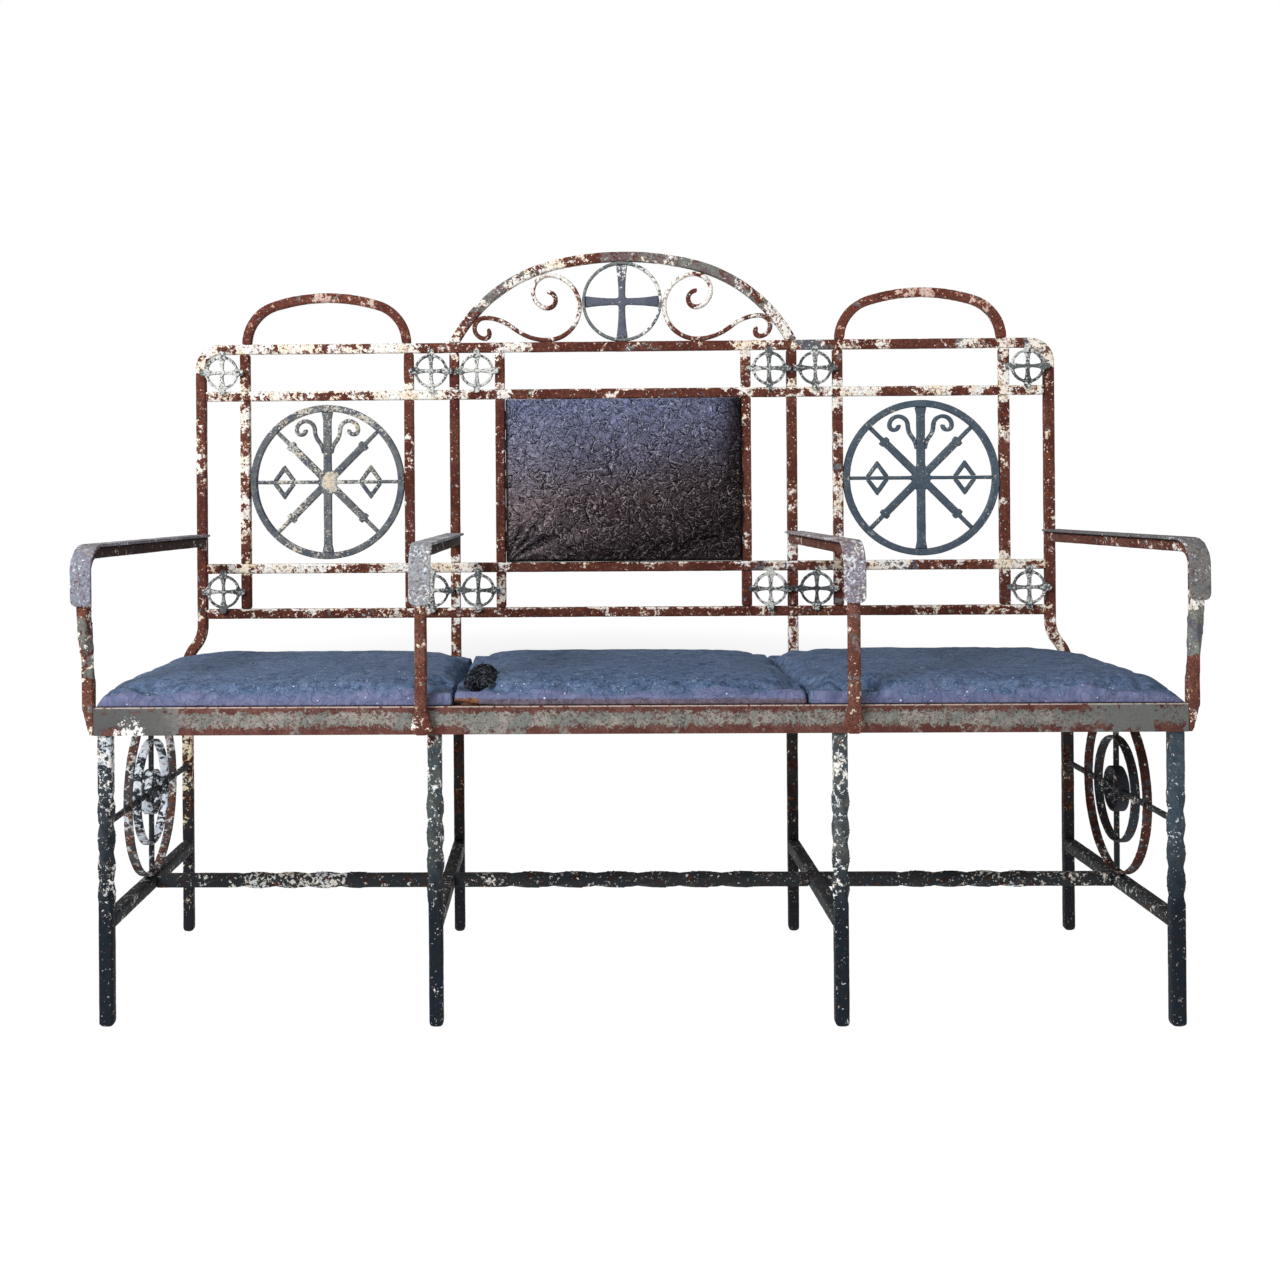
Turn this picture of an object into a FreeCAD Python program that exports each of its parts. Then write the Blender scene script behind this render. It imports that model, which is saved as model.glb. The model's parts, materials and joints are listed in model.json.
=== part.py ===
import FreeCAD, Part
import math
import os

# Wrought-iron settee with three loose squabs: X along the seat, front towards -Y, floor at Z = 0.

# Seat frame of angle iron
frame_length = 1468.0
frame_depth = 471.0
seat_height = 434.0
angle_height = 38.0
angle_flange = 34.0
angle_wall = 4.0
bearer_width = 30.0

# Legs and stretchers
front_leg_size = 19.0
rear_leg_size = 17.0
inner_leg_share = 0.186
foot_round = 7.0
leg_twist_rise = 25.0
leg_twist_length = 152.0
leg_turns = -1.0
stretcher_height = 141.0
stretcher_size = 19.0
mid_twist_share = 0.69
side_twist_share = 0.45
mid_twist_turns = -1.5
side_twist_turns = -1.0
twist_sections_per_turn = 16

# Roundels under the seat ends
roundel_band = 4.0
roundel_band_width = 13.0
roundel_head_gap = 31.5
hub_band_width = 17.0
middle_ring_share = 0.633
hub_ring_share = 0.27
roundel_rod = 8.0

# Back frame
back_bar = 16.0
post_foot_shift = 26.5
divider_shift = 3.0
outer_square = 73.0
inner_square = 75.0
bottom_rail_rise = 89.0
lower_square = 74.0
medallion_gap = 7.024
upper_square = 77.0
corner_radius = 32.0
joggle_height = 70.0

# Hoops and arch that stand on the top rail
hoop_bar = 15.0
hoop_inset = 3.5
hoop_rise_share = 0.578
hoop_corner_share = 0.502
arch_rise_share = 0.5036
arch_crown_angle = 13.3
arch_foot_angle = 61.6

# Crest ring, cross and scrolls, the scrolls' radii as shares of the ring's
crest_band = 5.0
crest_depth = 14.0
crest_cross_depth = 8.0
crest_cross_waist = 11.5
crest_cross_flare = 21.0
flare_bow_share = 0.125
flare_bow_place_share = 0.6
scroll_bar = 7.0
scroll_depth = 14.0
scroll_seat_gap = 0.2
belly_share = 0.817
belly_angle = 170
neck_share = 0.42
neck_angle = 175
eye_share = 0.206
eye_angle = 200
rise_share = 1.313
shoulder_share = 1.069
rise_angle = 35
rise_straight_share = 0.244
tail_share = 0.26
tail_angle = 180
tail_eye_share = 0.122
tail_eye_angle = 150

# Medallions, their pattern as shares of the radius and their scrolls as shares of the clear field
rim_face = 11.0
rim_depth = 13.0
medallion_depth = 9.0
medallion_post = 13.5
post_flare = 19.0
post_flare_height = 13.0
medallion_bar = 6.0
stepped_wide = 12.0
stepped_collar = 16.5
stepped_thin = 6.5
stepped_wide_share = 0.63
stepped_collar_share = 0.69
lozenge_offset_share = 0.56
lozenge_width_share = 0.33
lozenge_height_share = 0.457
lozenge_band = 6.5
post_scroll_bar = 6.5
post_scroll_rim_gap = 7.8952
post_scroll_foot_share = 0.4625
post_scroll_sway_share = 0.295
post_scroll_sway_angle = 40
post_scroll_share = 0.1475
post_scroll_angle = 180
post_scroll_eye_share = 0.07375
post_scroll_eye_angle = 190

# Rosettes
rosette_radius = 27.5
rosette_band = 4.5
rosette_reach = 36.0
rosette_depth = 6.0
rosette_waist = 5.5
rosette_flare = 13.0
rosette_nub = 10.0
rosette_nub_round = 3.4

# Arms
arm_bar = 16.0
arm_rise = 220.0
arm_bend_radius = 26.0
arm_lean = 6.0
arm_foot_tip = 8.0
arm_foot_round = 5.0
arm_twist_rise = 34.0
arm_twist_length = 98.0
inner_arm_shift = 13.0
cap_thickness = 4.0
cap_width = 30.0
cap_drop = 83.0
cap_end_round = 9.0
spade_width = 29.0
spade_thickness = 8.0
spade_taper = 26.0
spade_round = 7.0

# Squabs and back pad
soft_gap = 0.3
squab_gap = 2.5
squab_front_set = 3.0
squab_rear_gap = 2.0
squab_side_set = 13.0
left_squab_share = 0.329
centre_squab_share = 0.33
board_thickness = 10.0
board_round = 12.0
squab_edge = 10.0
squab_crown = 17.0
cover_wall = 1.4
pad_edge = 5.0
pad_crown = 16.0
pad_draw_in = 4.0
pad_fit_gap = 0.8
lug_width = 16.0
lug_height = 24.0
lug_wall = 3.0
lug_inset = 34.0

# How a pad swells from its ends to its middle, as shares of half its width, its crown and its draw-in
pad_end_rise_share = 0.12
pad_haunch_place_share = 0.86
pad_haunch_rise_share = 0.62
pad_haunch_draw_share = 0.45
pad_quarter_place_share = 0.5
pad_quarter_rise_share = 0.93
pad_quarter_draw_share = 0.95

# Overrun of every cutting block
overrun = 20.0

V = FreeCAD.Vector
X_AXIS = V(1, 0, 0)
Y_AXIS = V(0, 1, 0)
Z_AXIS = V(0, 0, 1)

# Depth places: the front reach of the inner arms and the rear rail's face lie alike about Y = 0
half_depth = (frame_depth + arm_bar + cap_thickness) / 2
front_face = -half_depth + arm_bar + cap_thickness
rear_face = half_depth
front_leg_y = front_face + angle_wall + front_leg_size / 2
rear_leg_y = rear_face - angle_wall - rear_leg_size / 2
middle_y = (front_leg_y + rear_leg_y) / 2
end_face = frame_length / 2
outer_leg_x = end_face - angle_wall - front_leg_size / 2
inner_leg_x = frame_length * inner_leg_share
flange_underside = seat_height - angle_wall
rail_low = seat_height - angle_height
twist_low = stretcher_height + leg_twist_rise
twist_high = twist_low + leg_twist_length
leg_places = (-outer_leg_x, -inner_leg_x, inner_leg_x, outer_leg_x)
sides = (("left", -1), ("right", 1))

# Back frame places
outer_post_x = outer_leg_x - post_foot_shift
side_post_outer_x = outer_post_x - outer_square
divider_x = inner_leg_x + divider_shift
side_post_inner_x = divider_x + inner_square
centre_post_x = divider_x - inner_square
bay_x = (side_post_outer_x + side_post_inner_x) / 2
bottom_rail_z = seat_height + bottom_rail_rise
lower_mid_z = bottom_rail_z + lower_square
medallion_radius = (side_post_outer_x - side_post_inner_x - back_bar) / 2
upper_mid_z = lower_mid_z + back_bar + 2 * (medallion_radius + medallion_gap)
top_rail_z = upper_mid_z + upper_square
back_y = rear_leg_y
back_front = back_y - back_bar / 2
back_rear = back_y + back_bar / 2
top_rail_top = top_rail_z + back_bar / 2
top_rail_underside = top_rail_z - back_bar / 2
arch_rise = divider_x * arch_rise_share
arch_underside = top_rail_top + arch_rise - back_bar / 2


def block(x0, x1, y0, y1, z0, z1):
    """A box between two corners."""
    corner = V(min(x0, x1), min(y0, y1), min(z0, z1))
    return Part.makeBox(abs(x1 - x0), abs(y1 - y0), abs(z1 - z0), corner)


def mirror_x(shape):
    """The same shape on the other side of the seat's centre plane."""
    return shape.mirror(V(0, 0, 0), X_AXIS)


def turned(shape, place, axis, degrees):
    """A copy of a shape, turned about an axis through a place."""
    copy = shape.copy()
    copy.rotate(place, axis, degrees)
    return copy


def moved(shape, x=0.0, y=0.0, z=0.0):
    """A copy of a shape, shifted."""
    copy = shape.copy()
    copy.translate(V(x, y, z))
    return copy


def joined(shapes):
    """One solid from touching or crossing shapes."""
    result = shapes[0]
    for shape in shapes[1:]:
        result = result.fuse(shape)
    return result.removeSplitter()


def edges_along(shape, axis, z_min=-math.inf, z_max=math.inf):
    """The edges of a block that run along one axis and lie between two heights."""
    found = []
    for edge in shape.Edges:
        box = edge.BoundBox
        lengths = {"X": box.XLength, "Y": box.YLength, "Z": box.ZLength}
        along = lengths.pop(axis)
        if along > max(lengths.values()) and box.ZMin > z_min and box.ZMax < z_max:
            found.append(edge)
    return found


def polygon_face(points):
    """A face in the XZ plane from (x, z) corners."""
    corners = [V(x, 0, z) for x, z in points]
    return Part.Face(Part.makePolygon(corners + corners[:1]))


def thick(face, depth, y):
    """A face of the XZ plane given a depth, centred on y."""
    return moved(face, y=y - depth / 2).extrude(V(0, depth, 0))


def ribbon(start, heading, steps, width):
    """A strip in the XZ plane along tangent runs: each step is a length, or a radius and a turn."""
    x, z = start
    sides_of_path = {1: [], -1: []}
    for step in steps:
        angle = math.radians(heading)
        normal = (-math.sin(angle), math.cos(angle))
        if len(step) == 1:
            length = step[0]
            end = (x + length * math.cos(angle), z + length * math.sin(angle))
            for side in (1, -1):
                shift = (side * normal[0] * width / 2, side * normal[1] * width / 2)
                first = V(x + shift[0], 0, z + shift[1])
                last = V(end[0] + shift[0], 0, end[1] + shift[1])
                sides_of_path[side].append(Part.LineSegment(first, last).toShape())
            x, z = end
            continue
        radius, turn = step
        way = 1 if turn > 0 else -1
        centre = (x + way * radius * normal[0], z + way * radius * normal[1])
        for side in (1, -1):
            offset_radius = radius - way * side * width / 2
            points = []
            for share in (0.0, 0.5, 1.0):
                spoke = angle - way * math.pi / 2 + math.radians(turn) * share
                points.append(V(centre[0] + offset_radius * math.cos(spoke), 0,
                                centre[1] + offset_radius * math.sin(spoke)))
            sides_of_path[side].append(Part.Arc(*points).toShape())
        spoke = angle - way * math.pi / 2 + math.radians(turn)
        x = centre[0] + radius * math.cos(spoke)
        z = centre[1] + radius * math.sin(spoke)
        heading += turn
    left, right = sides_of_path[1], sides_of_path[-1]
    start_cap = Part.LineSegment(right[0].valueAt(right[0].FirstParameter),
                                 left[0].valueAt(left[0].FirstParameter)).toShape()
    end_cap = Part.LineSegment(left[-1].valueAt(left[-1].LastParameter),
                               right[-1].valueAt(right[-1].LastParameter)).toShape()
    edges = left + [end_cap] + right[::-1] + [start_cap]
    return Part.Face(Part.Wire(Part.__sortEdges__(edges)))


def twisted_bar(size, low, high, turns, lean=0.0):
    """A square bar on the Z axis, twisted between two heights and leaning along X as it rises."""
    count = max(2, int(round(abs(turns) * twist_sections_per_turn)))
    corner_reach = size / math.sqrt(2)
    wires = []
    for index in range(count + 1):
        share = index / count
        angle = math.radians(45 + 360 * turns * share)
        corners = []
        for quarter in range(4):
            spoke = angle + quarter * math.pi / 2
            corners.append(V(corner_reach * math.cos(spoke) + lean * share, corner_reach * math.sin(spoke),
                             low + (high - low) * share))
        wires.append(Part.makePolygon(corners + corners[:1]))
    return Part.makeLoft(wires, True, True)


def flared_cross(reach, waist, flare, depth):
    """A four-armed cross, flat in the XZ plane, whose arms widen in a curve towards their ends."""
    arms = []
    for quarter in range(4):
        bow = V(waist / 2 + (flare - waist) * flare_bow_share, 0, reach * flare_bow_place_share)
        left = Part.Arc(V(-waist / 2, 0, 0), V(-bow.x, 0, bow.z), V(-flare / 2, 0, reach)).toShape()
        right = Part.Arc(V(flare / 2, 0, reach), bow, V(waist / 2, 0, 0)).toShape()
        top = Part.LineSegment(V(-flare / 2, 0, reach), V(flare / 2, 0, reach)).toShape()
        base = Part.LineSegment(V(waist / 2, 0, 0), V(-waist / 2, 0, 0)).toShape()
        arm = thick(Part.Face(Part.Wire([left, top, right, base])), depth, 0)
        arms.append(turned(arm, V(0, 0, 0), Y_AXIS, 90 * quarter))
    return joined(arms)


def annulus(radius, band):
    """A flat ring in the XZ plane, its outer radius given."""
    outer = Part.Face(Part.Wire(Part.makeCircle(radius, V(0, 0, 0), Y_AXIS)))
    inner = Part.Face(Part.Wire(Part.makeCircle(radius - band, V(0, 0, 0), Y_AXIS)))
    return outer.cut(inner)


# Seat frame

def long_rail(face_y, inward):
    """A rail of angle iron along X, its upright wall on the outside."""
    upright = block(-end_face, end_face, face_y, face_y + inward * angle_wall, rail_low, seat_height)
    flange = block(-end_face, end_face, face_y, face_y + inward * angle_flange, flange_underside, seat_height)
    return joined([upright, flange])


def end_rail(side, long_rails):
    """A rail of angle iron along Y, coped to the two long rails."""
    x = side * end_face
    upright = block(x, x - side * angle_wall, front_face, rear_face, rail_low, seat_height)
    flange = block(x, x - side * angle_flange, front_face, rear_face, flange_underside, seat_height)
    rail = joined([upright, flange])
    for other in long_rails:
        rail = rail.cut(other)
    return rail


def bearers():
    """Two flat bars across the seat frame, level with its flanges."""
    bars = []
    for x in (-inner_leg_x, inner_leg_x):
        bars.append(block(x - bearer_width / 2, x + bearer_width / 2, front_face + angle_flange,
                          rear_face - angle_flange, flange_underside, seat_height))
    return Part.makeCompound(bars)


# Legs and stretchers

def foot_rounded(bar):
    """Rounds the four edges of a leg's underside."""
    edges = edges_along(bar, "X", z_max=foot_round) + edges_along(bar, "Y", z_max=foot_round)
    return bar.makeFillet(foot_round, edges)


def front_leg(x):
    """A square leg with one full twist above the stretcher."""
    half = front_leg_size / 2
    lower = foot_rounded(block(-half, half, -half, half, 0, twist_low))
    upper = block(-half, half, -half, half, twist_high, flange_underside)
    leg = joined([lower, twisted_bar(front_leg_size, twist_low, twist_high, leg_turns), upper])
    return moved(leg, x=x, y=front_leg_y)


def rear_leg(x):
    """A plain square leg."""
    half = rear_leg_size / 2
    leg = foot_rounded(block(-half, half, -half, half, 0, flange_underside))
    return moved(leg, x=x, y=rear_leg_y)


def cross_stretcher(x):
    """A bar from a front leg to a rear leg, halved for the long stretcher where they cross."""
    half = stretcher_size / 2
    bar = block(x - half, x + half, front_leg_y + front_leg_size / 2, rear_leg_y - rear_leg_size / 2,
                stretcher_height - half, stretcher_height + half)
    if abs(x) < outer_leg_x:
        bar = bar.cut(block(x - stretcher_size, x + stretcher_size, middle_y - half, middle_y + half,
                            stretcher_height, stretcher_height + stretcher_size))
    return bar


def long_stretcher():
    """The bar between the two end stretchers, twisted in three stretches."""
    half = stretcher_size / 2
    end = outer_leg_x - half
    side_centre = (inner_leg_x + end) / 2
    side_twist = (end - inner_leg_x) * side_twist_share
    mid_twist = 2 * inner_leg_x * mid_twist_share
    twists = ((-side_centre, side_twist, side_twist_turns), (0, mid_twist, mid_twist_turns),
              (side_centre, side_twist, side_twist_turns))
    pieces = []
    plain_from = -end
    for centre, length, turns in twists:
        low, high = centre - length / 2, centre + length / 2
        pieces.append(block(-half, half, -half, half, plain_from, low))
        pieces.append(twisted_bar(stretcher_size, low, high, turns))
        plain_from = high
    pieces.append(block(-half, half, -half, half, plain_from, end))
    bar = turned(joined(pieces), V(0, 0, 0), Y_AXIS, 90)
    bar = moved(bar, y=middle_y, z=stretcher_height)
    for x in (-inner_leg_x, inner_leg_x):
        bar = bar.cut(block(x - half, x + half, middle_y - stretcher_size, middle_y + stretcher_size,
                            stretcher_height - stretcher_size, stretcher_height))
    return bar


# Roundels

stretcher_top = stretcher_height + stretcher_size / 2
outer_ring_radius = (flange_underside - roundel_head_gap - stretcher_top) / 2
roundel_z = stretcher_top + outer_ring_radius


def roundel_ring(radius, width, x, rods):
    """One flat band bent to a ring in the YZ plane, pierced where the rods pass."""
    ring = thick(annulus(radius, roundel_band), width, 0)
    ring = turned(ring, V(0, 0, 0), Z_AXIS, 90)
    ring = moved(ring, x=x, y=middle_y, z=roundel_z)
    for rod in rods:
        ring = ring.cut(rod)
    return ring


def roundel_rods(x, legs):
    """The upright and level rods of a roundel, halved where they cross and cut to the legs."""
    half = roundel_rod / 2
    upright = block(x - half, x + half, middle_y - half, middle_y + half, stretcher_top, flange_underside)
    level = block(x - half, x + half, front_leg_y, rear_leg_y, roundel_z - half, roundel_z + half)
    for leg in legs:
        level = level.cut(leg)
    upright = upright.cut(block(x, x - roundel_rod, middle_y - roundel_rod, middle_y + roundel_rod,
                                roundel_z - half, roundel_z + half))
    level = level.cut(block(x, x + roundel_rod, middle_y - half, middle_y + half,
                            roundel_z - roundel_rod, roundel_z + roundel_rod))
    return upright, level


# Back frame

def back_frame_bar():
    """One bar bent into both outer posts and the top rail, its feet set outwards onto the seat frame."""
    shift = outer_leg_x - outer_post_x
    bend = math.degrees(2 * math.atan(shift / joggle_height))
    bend_radius = joggle_height / (2 * math.sin(math.radians(bend)))
    rise = top_rail_z - corner_radius - seat_height - joggle_height
    run = 2 * (outer_post_x - corner_radius)
    steps = ((bend_radius, -bend), (bend_radius, bend), (rise,), (corner_radius, -90), (run,),
             (corner_radius, -90), (rise,), (bend_radius, bend), (bend_radius, -bend))
    return thick(ribbon((-outer_leg_x, seat_height), 90, steps, back_bar), back_bar, back_y)


def back_rail(z, crossings):
    """A level rail between the outer posts, halved at the back where posts cross it."""
    half = back_bar / 2
    end = outer_post_x - half
    rail = block(-end, end, back_front, back_rear, z - half, z + half)
    for x in crossings:
        rail = rail.cut(block(x - half, x + half, back_y, back_rear + overrun, z - back_bar, z + back_bar))
    return rail


def back_post(x, low, crossings):
    """An upright under the top rail, halved at the front where rails cross it."""
    half = back_bar / 2
    post = block(x - half, x + half, back_front, back_rear, low, top_rail_underside)
    for z in crossings:
        post = post.cut(block(x - back_bar, x + back_bar, back_front - overrun, back_y, z - half, z + half))
    return post


def pad_lugs(x):
    """Two lugs at the back of a centre post, inside the opening of the back pad."""
    inner = abs(x) - back_bar / 2
    side = 1 if x > 0 else -1
    lugs = []
    for z in (lower_mid_z + back_bar / 2 + lug_inset, upper_mid_z - back_bar / 2 - lug_inset):
        lugs.append(block(side * inner, side * (inner - lug_width), back_rear - lug_wall, back_rear,
                          z - lug_height / 2, z + lug_height / 2))
    return lugs


def side_hoop(x):
    """A basket-handle hoop that stands on the top rail above one bay."""
    half_width = (side_post_outer_x - side_post_inner_x) / 2 - hoop_inset
    hoop_rise = half_width * hoop_rise_share
    hoop_corner = half_width * hoop_corner_share
    side_run = half_width - hoop_corner
    crown_radius = (side_run ** 2 + hoop_rise ** 2 - hoop_corner ** 2) / (2 * (hoop_rise - hoop_corner))
    crown_angle = math.degrees(math.atan(side_run / (crown_radius - hoop_rise)))
    corner = (hoop_corner, crown_angle - 90)
    steps = (corner, (crown_radius, -2 * crown_angle), corner)
    hoop = ribbon((-half_width, top_rail_top), 90, steps, hoop_bar)
    return moved(thick(hoop, back_bar, back_y), x=x)


def crest_arch():
    """The two-radius arch that springs from above the divider posts."""
    crown = math.radians(arch_crown_angle)
    foot = math.radians(arch_foot_angle)
    a, b = math.sin(crown), math.sin(foot) - math.sin(crown)
    c, d = 1 - math.cos(crown), math.cos(crown) - math.cos(foot)
    crown_radius = (divider_x * d - arch_rise * b) / (a * d - b * c)
    haunch_radius = (a * arch_rise - c * divider_x) / (a * d - b * c)
    haunch_angle = arch_foot_angle - arch_crown_angle
    start = (-divider_x - back_bar * math.cos(foot), top_rail_top - back_bar * math.sin(foot))
    steps = ((back_bar,), (haunch_radius, -haunch_angle), (crown_radius, -2 * arch_crown_angle),
             (haunch_radius, -haunch_angle), (back_bar,))
    arch = thick(ribbon(start, arch_foot_angle, steps, back_bar), back_bar, back_y)
    return arch.cut(block(-end_face, end_face, back_front - overrun, back_rear + overrun,
                          top_rail_top - 2 * back_bar, top_rail_top))


# Crest ring, cross and scrolls

crest_ring_radius = (arch_underside - top_rail_top) / 2
crest_ring_z = top_rail_top + crest_ring_radius


def crest_ring():
    """The thin ring between the top rail and the arch."""
    return moved(thick(annulus(crest_ring_radius, crest_band), crest_depth, back_y), z=crest_ring_z)


def crest_cross():
    """The flared cross inside the crest ring, its ends cut to the ring's curve."""
    inner_radius = crest_ring_radius - crest_band
    cross = flared_cross(crest_ring_radius, crest_cross_waist, crest_cross_flare, crest_cross_depth)
    bound = Part.makeCylinder(inner_radius, crest_cross_depth, V(0, -crest_cross_depth / 2, 0), Y_AXIS)
    return moved(cross.common(bound), y=back_y, z=crest_ring_z)


def crest_scroll():
    """The left scroll: belly, neck and eye one way, rise, shoulder and tail the other."""
    radius = crest_ring_radius
    belly_x = radius + scroll_seat_gap + scroll_bar / 2 + radius * belly_share
    start = (-belly_x, top_rail_top + scroll_bar / 2)
    volute = ((radius * belly_share, belly_angle), (radius * neck_share, neck_angle),
              (radius * eye_share, eye_angle))
    tail = ((radius * rise_share, -rise_angle), (radius * rise_straight_share,),
            (radius * shoulder_share, rise_angle), (radius * tail_share, tail_angle),
            (radius * tail_eye_share, tail_eye_angle))
    halves = [thick(ribbon(start, 0, volute, scroll_bar), scroll_depth, back_y),
              thick(ribbon(start, 180, tail, scroll_bar), scroll_depth, back_y)]
    return joined(halves)


# Medallions and rosettes

medallion_z = (upper_mid_z + lower_mid_z) / 2


def shaped_bar(outline):
    """A flat bar of a medallion from the right half of its outline, given from the bottom up."""
    mirrored = tuple((-x, z) for x, z in reversed(outline))
    return thick(polygon_face(outline + mirrored), medallion_depth, 0)


def medallion_rim():
    """The deep ring of a medallion."""
    return thick(annulus(medallion_radius, rim_face), rim_depth, 0)


def medallion_spokes():
    """A post with flared ends, a level bar in two halves and four stepped diagonals."""
    inner = medallion_radius - rim_face
    half_post, half_flare = medallion_post / 2, post_flare / 2
    neck = inner - post_flare_height
    bound = Part.makeCylinder(inner, medallion_depth, V(0, -medallion_depth / 2, 0), Y_AXIS)
    post = shaped_bar(((half_flare, -inner), (half_post, -neck), (half_post, neck), (half_flare, inner)))
    post = post.common(bound)
    bars = []
    for side in (-1, 1):
        bar = block(side * half_post, side * inner, -medallion_depth / 2, medallion_depth / 2,
                    -medallion_bar / 2, medallion_bar / 2)
        bars.append(bar.common(bound))
    wide_end = medallion_radius * stepped_wide_share
    collar_end = medallion_radius * stepped_collar_share
    half_wide, half_collar, half_thin = stepped_wide / 2, stepped_collar / 2, stepped_thin / 2
    stepped = shaped_bar(((half_wide, 0), (half_wide, wide_end), (half_collar, wide_end),
                          (half_collar, collar_end), (half_thin, collar_end), (half_thin, inner + rim_face)))
    spokes = [post] + bars
    for angle in (45, 135, 225, 315):
        diagonal = turned(stepped, V(0, 0, 0), Y_AXIS, angle).common(bound)
        for other in [post] + bars:
            diagonal = diagonal.cut(other)
        spokes.append(diagonal)
    return spokes


def lozenge_halves():
    """The two chevrons above and below the level bar that make one pierced lozenge."""
    width = medallion_radius * lozenge_width_share
    height = medallion_radius * lozenge_height_share
    side = math.hypot(width, height) / 2
    side_distance = width * height / (4 * side)
    diamonds = []
    for share in (1, 1 - lozenge_band / side_distance):
        half_width = width / 2 * share
        half_height = height / 2 * share
        corners = ((half_width, 0), (0, half_height), (-half_width, 0), (0, -half_height))
        diamonds.append(polygon_face(corners))
    band = thick(diamonds[0].cut(diamonds[1]), medallion_depth, 0)
    level_bar = block(-width, width, -medallion_depth, medallion_depth, -medallion_bar / 2, medallion_bar / 2)
    return band.cut(level_bar).Solids


def medallion_scrolls():
    """A matching pair of scrolls that spring from the medallion's post and turn outwards."""
    half_post = medallion_post / 2
    field = medallion_radius - rim_face - post_scroll_bar - post_scroll_rim_gap
    start = (half_post, field * post_scroll_foot_share)
    sway = field * post_scroll_sway_share
    steps = ((sway, -post_scroll_sway_angle), (sway, post_scroll_sway_angle),
             (field * post_scroll_share, -post_scroll_angle),
             (field * post_scroll_eye_share, -post_scroll_eye_angle))
    right = thick(ribbon(start, 90, steps, post_scroll_bar), medallion_depth, 0)
    right = right.cut(block(-half_post, half_post, -medallion_depth, medallion_depth, 0, medallion_radius))
    return [right, mirror_x(right)]


def in_both_bays(shapes):
    """Shapes of a medallion, put in the left and the right bay."""
    placed = [moved(shape, x=x, y=back_y, z=medallion_z) for x in (-bay_x, bay_x) for shape in shapes]
    return Part.makeCompound(placed)


def rosette():
    """A small cast ring with a flared cross whose ends lap onto the bars around it."""
    ring = thick(annulus(rosette_radius, rosette_band), rosette_depth, 0)
    cross = flared_cross(rosette_radius, rosette_waist, rosette_flare, rosette_depth)
    nubs = []
    for quarter in range(4):
        nub = block(-rosette_nub / 2, rosette_nub / 2, -rosette_depth / 2, rosette_depth / 2,
                    rosette_radius - rosette_band, rosette_reach)
        nub = nub.makeFillet(rosette_nub_round, edges_along(nub, "Y", z_min=rosette_reach - rosette_band / 2))
        nubs.append(turned(nub, V(0, 0, 0), Y_AXIS, 90 * quarter))
    return joined([ring, cross] + nubs)


def rosettes():
    """Twelve rosettes, one in each square between posts and rails."""
    cast = rosette()
    places = []
    for outer, inner in ((outer_post_x, side_post_outer_x), (side_post_inner_x, divider_x),
                         (divider_x, centre_post_x)):
        places += [(outer + inner) / 2, -(outer + inner) / 2]
    copies = []
    for z in ((top_rail_z + upper_mid_z) / 2, (lower_mid_z + bottom_rail_z) / 2):
        for x in places:
            copies.append(moved(cast, x=x, y=back_front - rosette_depth / 2, z=z))
    return Part.makeCompound(copies)


# Arms

arm_top = seat_height + arm_rise
bar_axis_top = arm_top - cap_thickness - arm_bar / 2
cap_front_low = arm_top - cap_drop
arm_twist_low = seat_height + arm_twist_rise
arm_twist_high = arm_twist_low + arm_twist_length
inner_arm_x = divider_x + inner_arm_shift
outer_foot_x = end_face + arm_bar / 2
outer_arm_x = outer_foot_x + arm_lean
outer_arm_y = front_face + arm_bar / 2
inner_arm_y = front_face - arm_bar / 2


def bent_strip(low, run, width, offset):
    """A bent strip that rises from low and runs back, offset outwards from the bar's axis."""
    radius = arm_bend_radius + offset
    steps = ((bar_axis_top - arm_bend_radius - low,), (radius, -90), (run - arm_bend_radius,))
    return ribbon((-offset, low), 90, steps, width)


def arm_direction(x, y, post_x):
    """The plan angle and the length of an arm from its upright to a back post."""
    return math.degrees(math.atan2(back_front - y, post_x - x)), math.hypot(back_front - y, post_x - x)


def run_to_post(strip, x, y, post_x):
    """A strip in its own plane, stood at the upright's place and cut at the post's front face."""
    way, _ = arm_direction(x, y, post_x)
    strip = moved(turned(strip, V(0, 0, 0), Z_AXIS, way), x=x, y=y)
    return strip.cut(block(-frame_length, frame_length, back_front, back_front + frame_depth, 0, top_rail_z))


def arm_cap(x, y, post_x):
    """The flat strip that lies along an arm's bar and wraps over its front."""
    _, length = arm_direction(x, y, post_x)
    face = bent_strip(cap_front_low, length + cap_width, cap_thickness, (arm_bar + cap_thickness) / 2)
    strip = thick(face, cap_width, 0)
    strip = strip.makeFillet(cap_end_round, edges_along(strip, "X", z_max=cap_front_low + cap_thickness))
    return run_to_post(strip, x, y, post_x)


def outer_arm_bar():
    """The left outer arm: a foot lapped on the frame's end, a quarter twist and the bent bar."""
    x, y, post_x = -outer_arm_x, outer_arm_y, -outer_post_x
    way, length = arm_direction(x, y, post_x)
    bent = thick(bent_strip(arm_twist_high, length + cap_width, arm_bar, 0), arm_bar, 0)
    twist = twisted_bar(arm_bar, arm_twist_low, arm_twist_high, way / 360, -arm_lean)
    outside = end_face + arm_bar
    tip = end_face + arm_foot_tip
    outline = ((-end_face, rail_low), (-end_face, arm_twist_low), (-outside, arm_twist_low),
               (-outside, seat_height), (-tip, rail_low + arm_foot_round),
               (-tip + arm_foot_round / 2, rail_low))
    foot = thick(polygon_face(outline), arm_bar, y)
    return joined([foot, moved(twist, x=-outer_foot_x, y=y), run_to_post(bent, x, y, post_x)])


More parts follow.
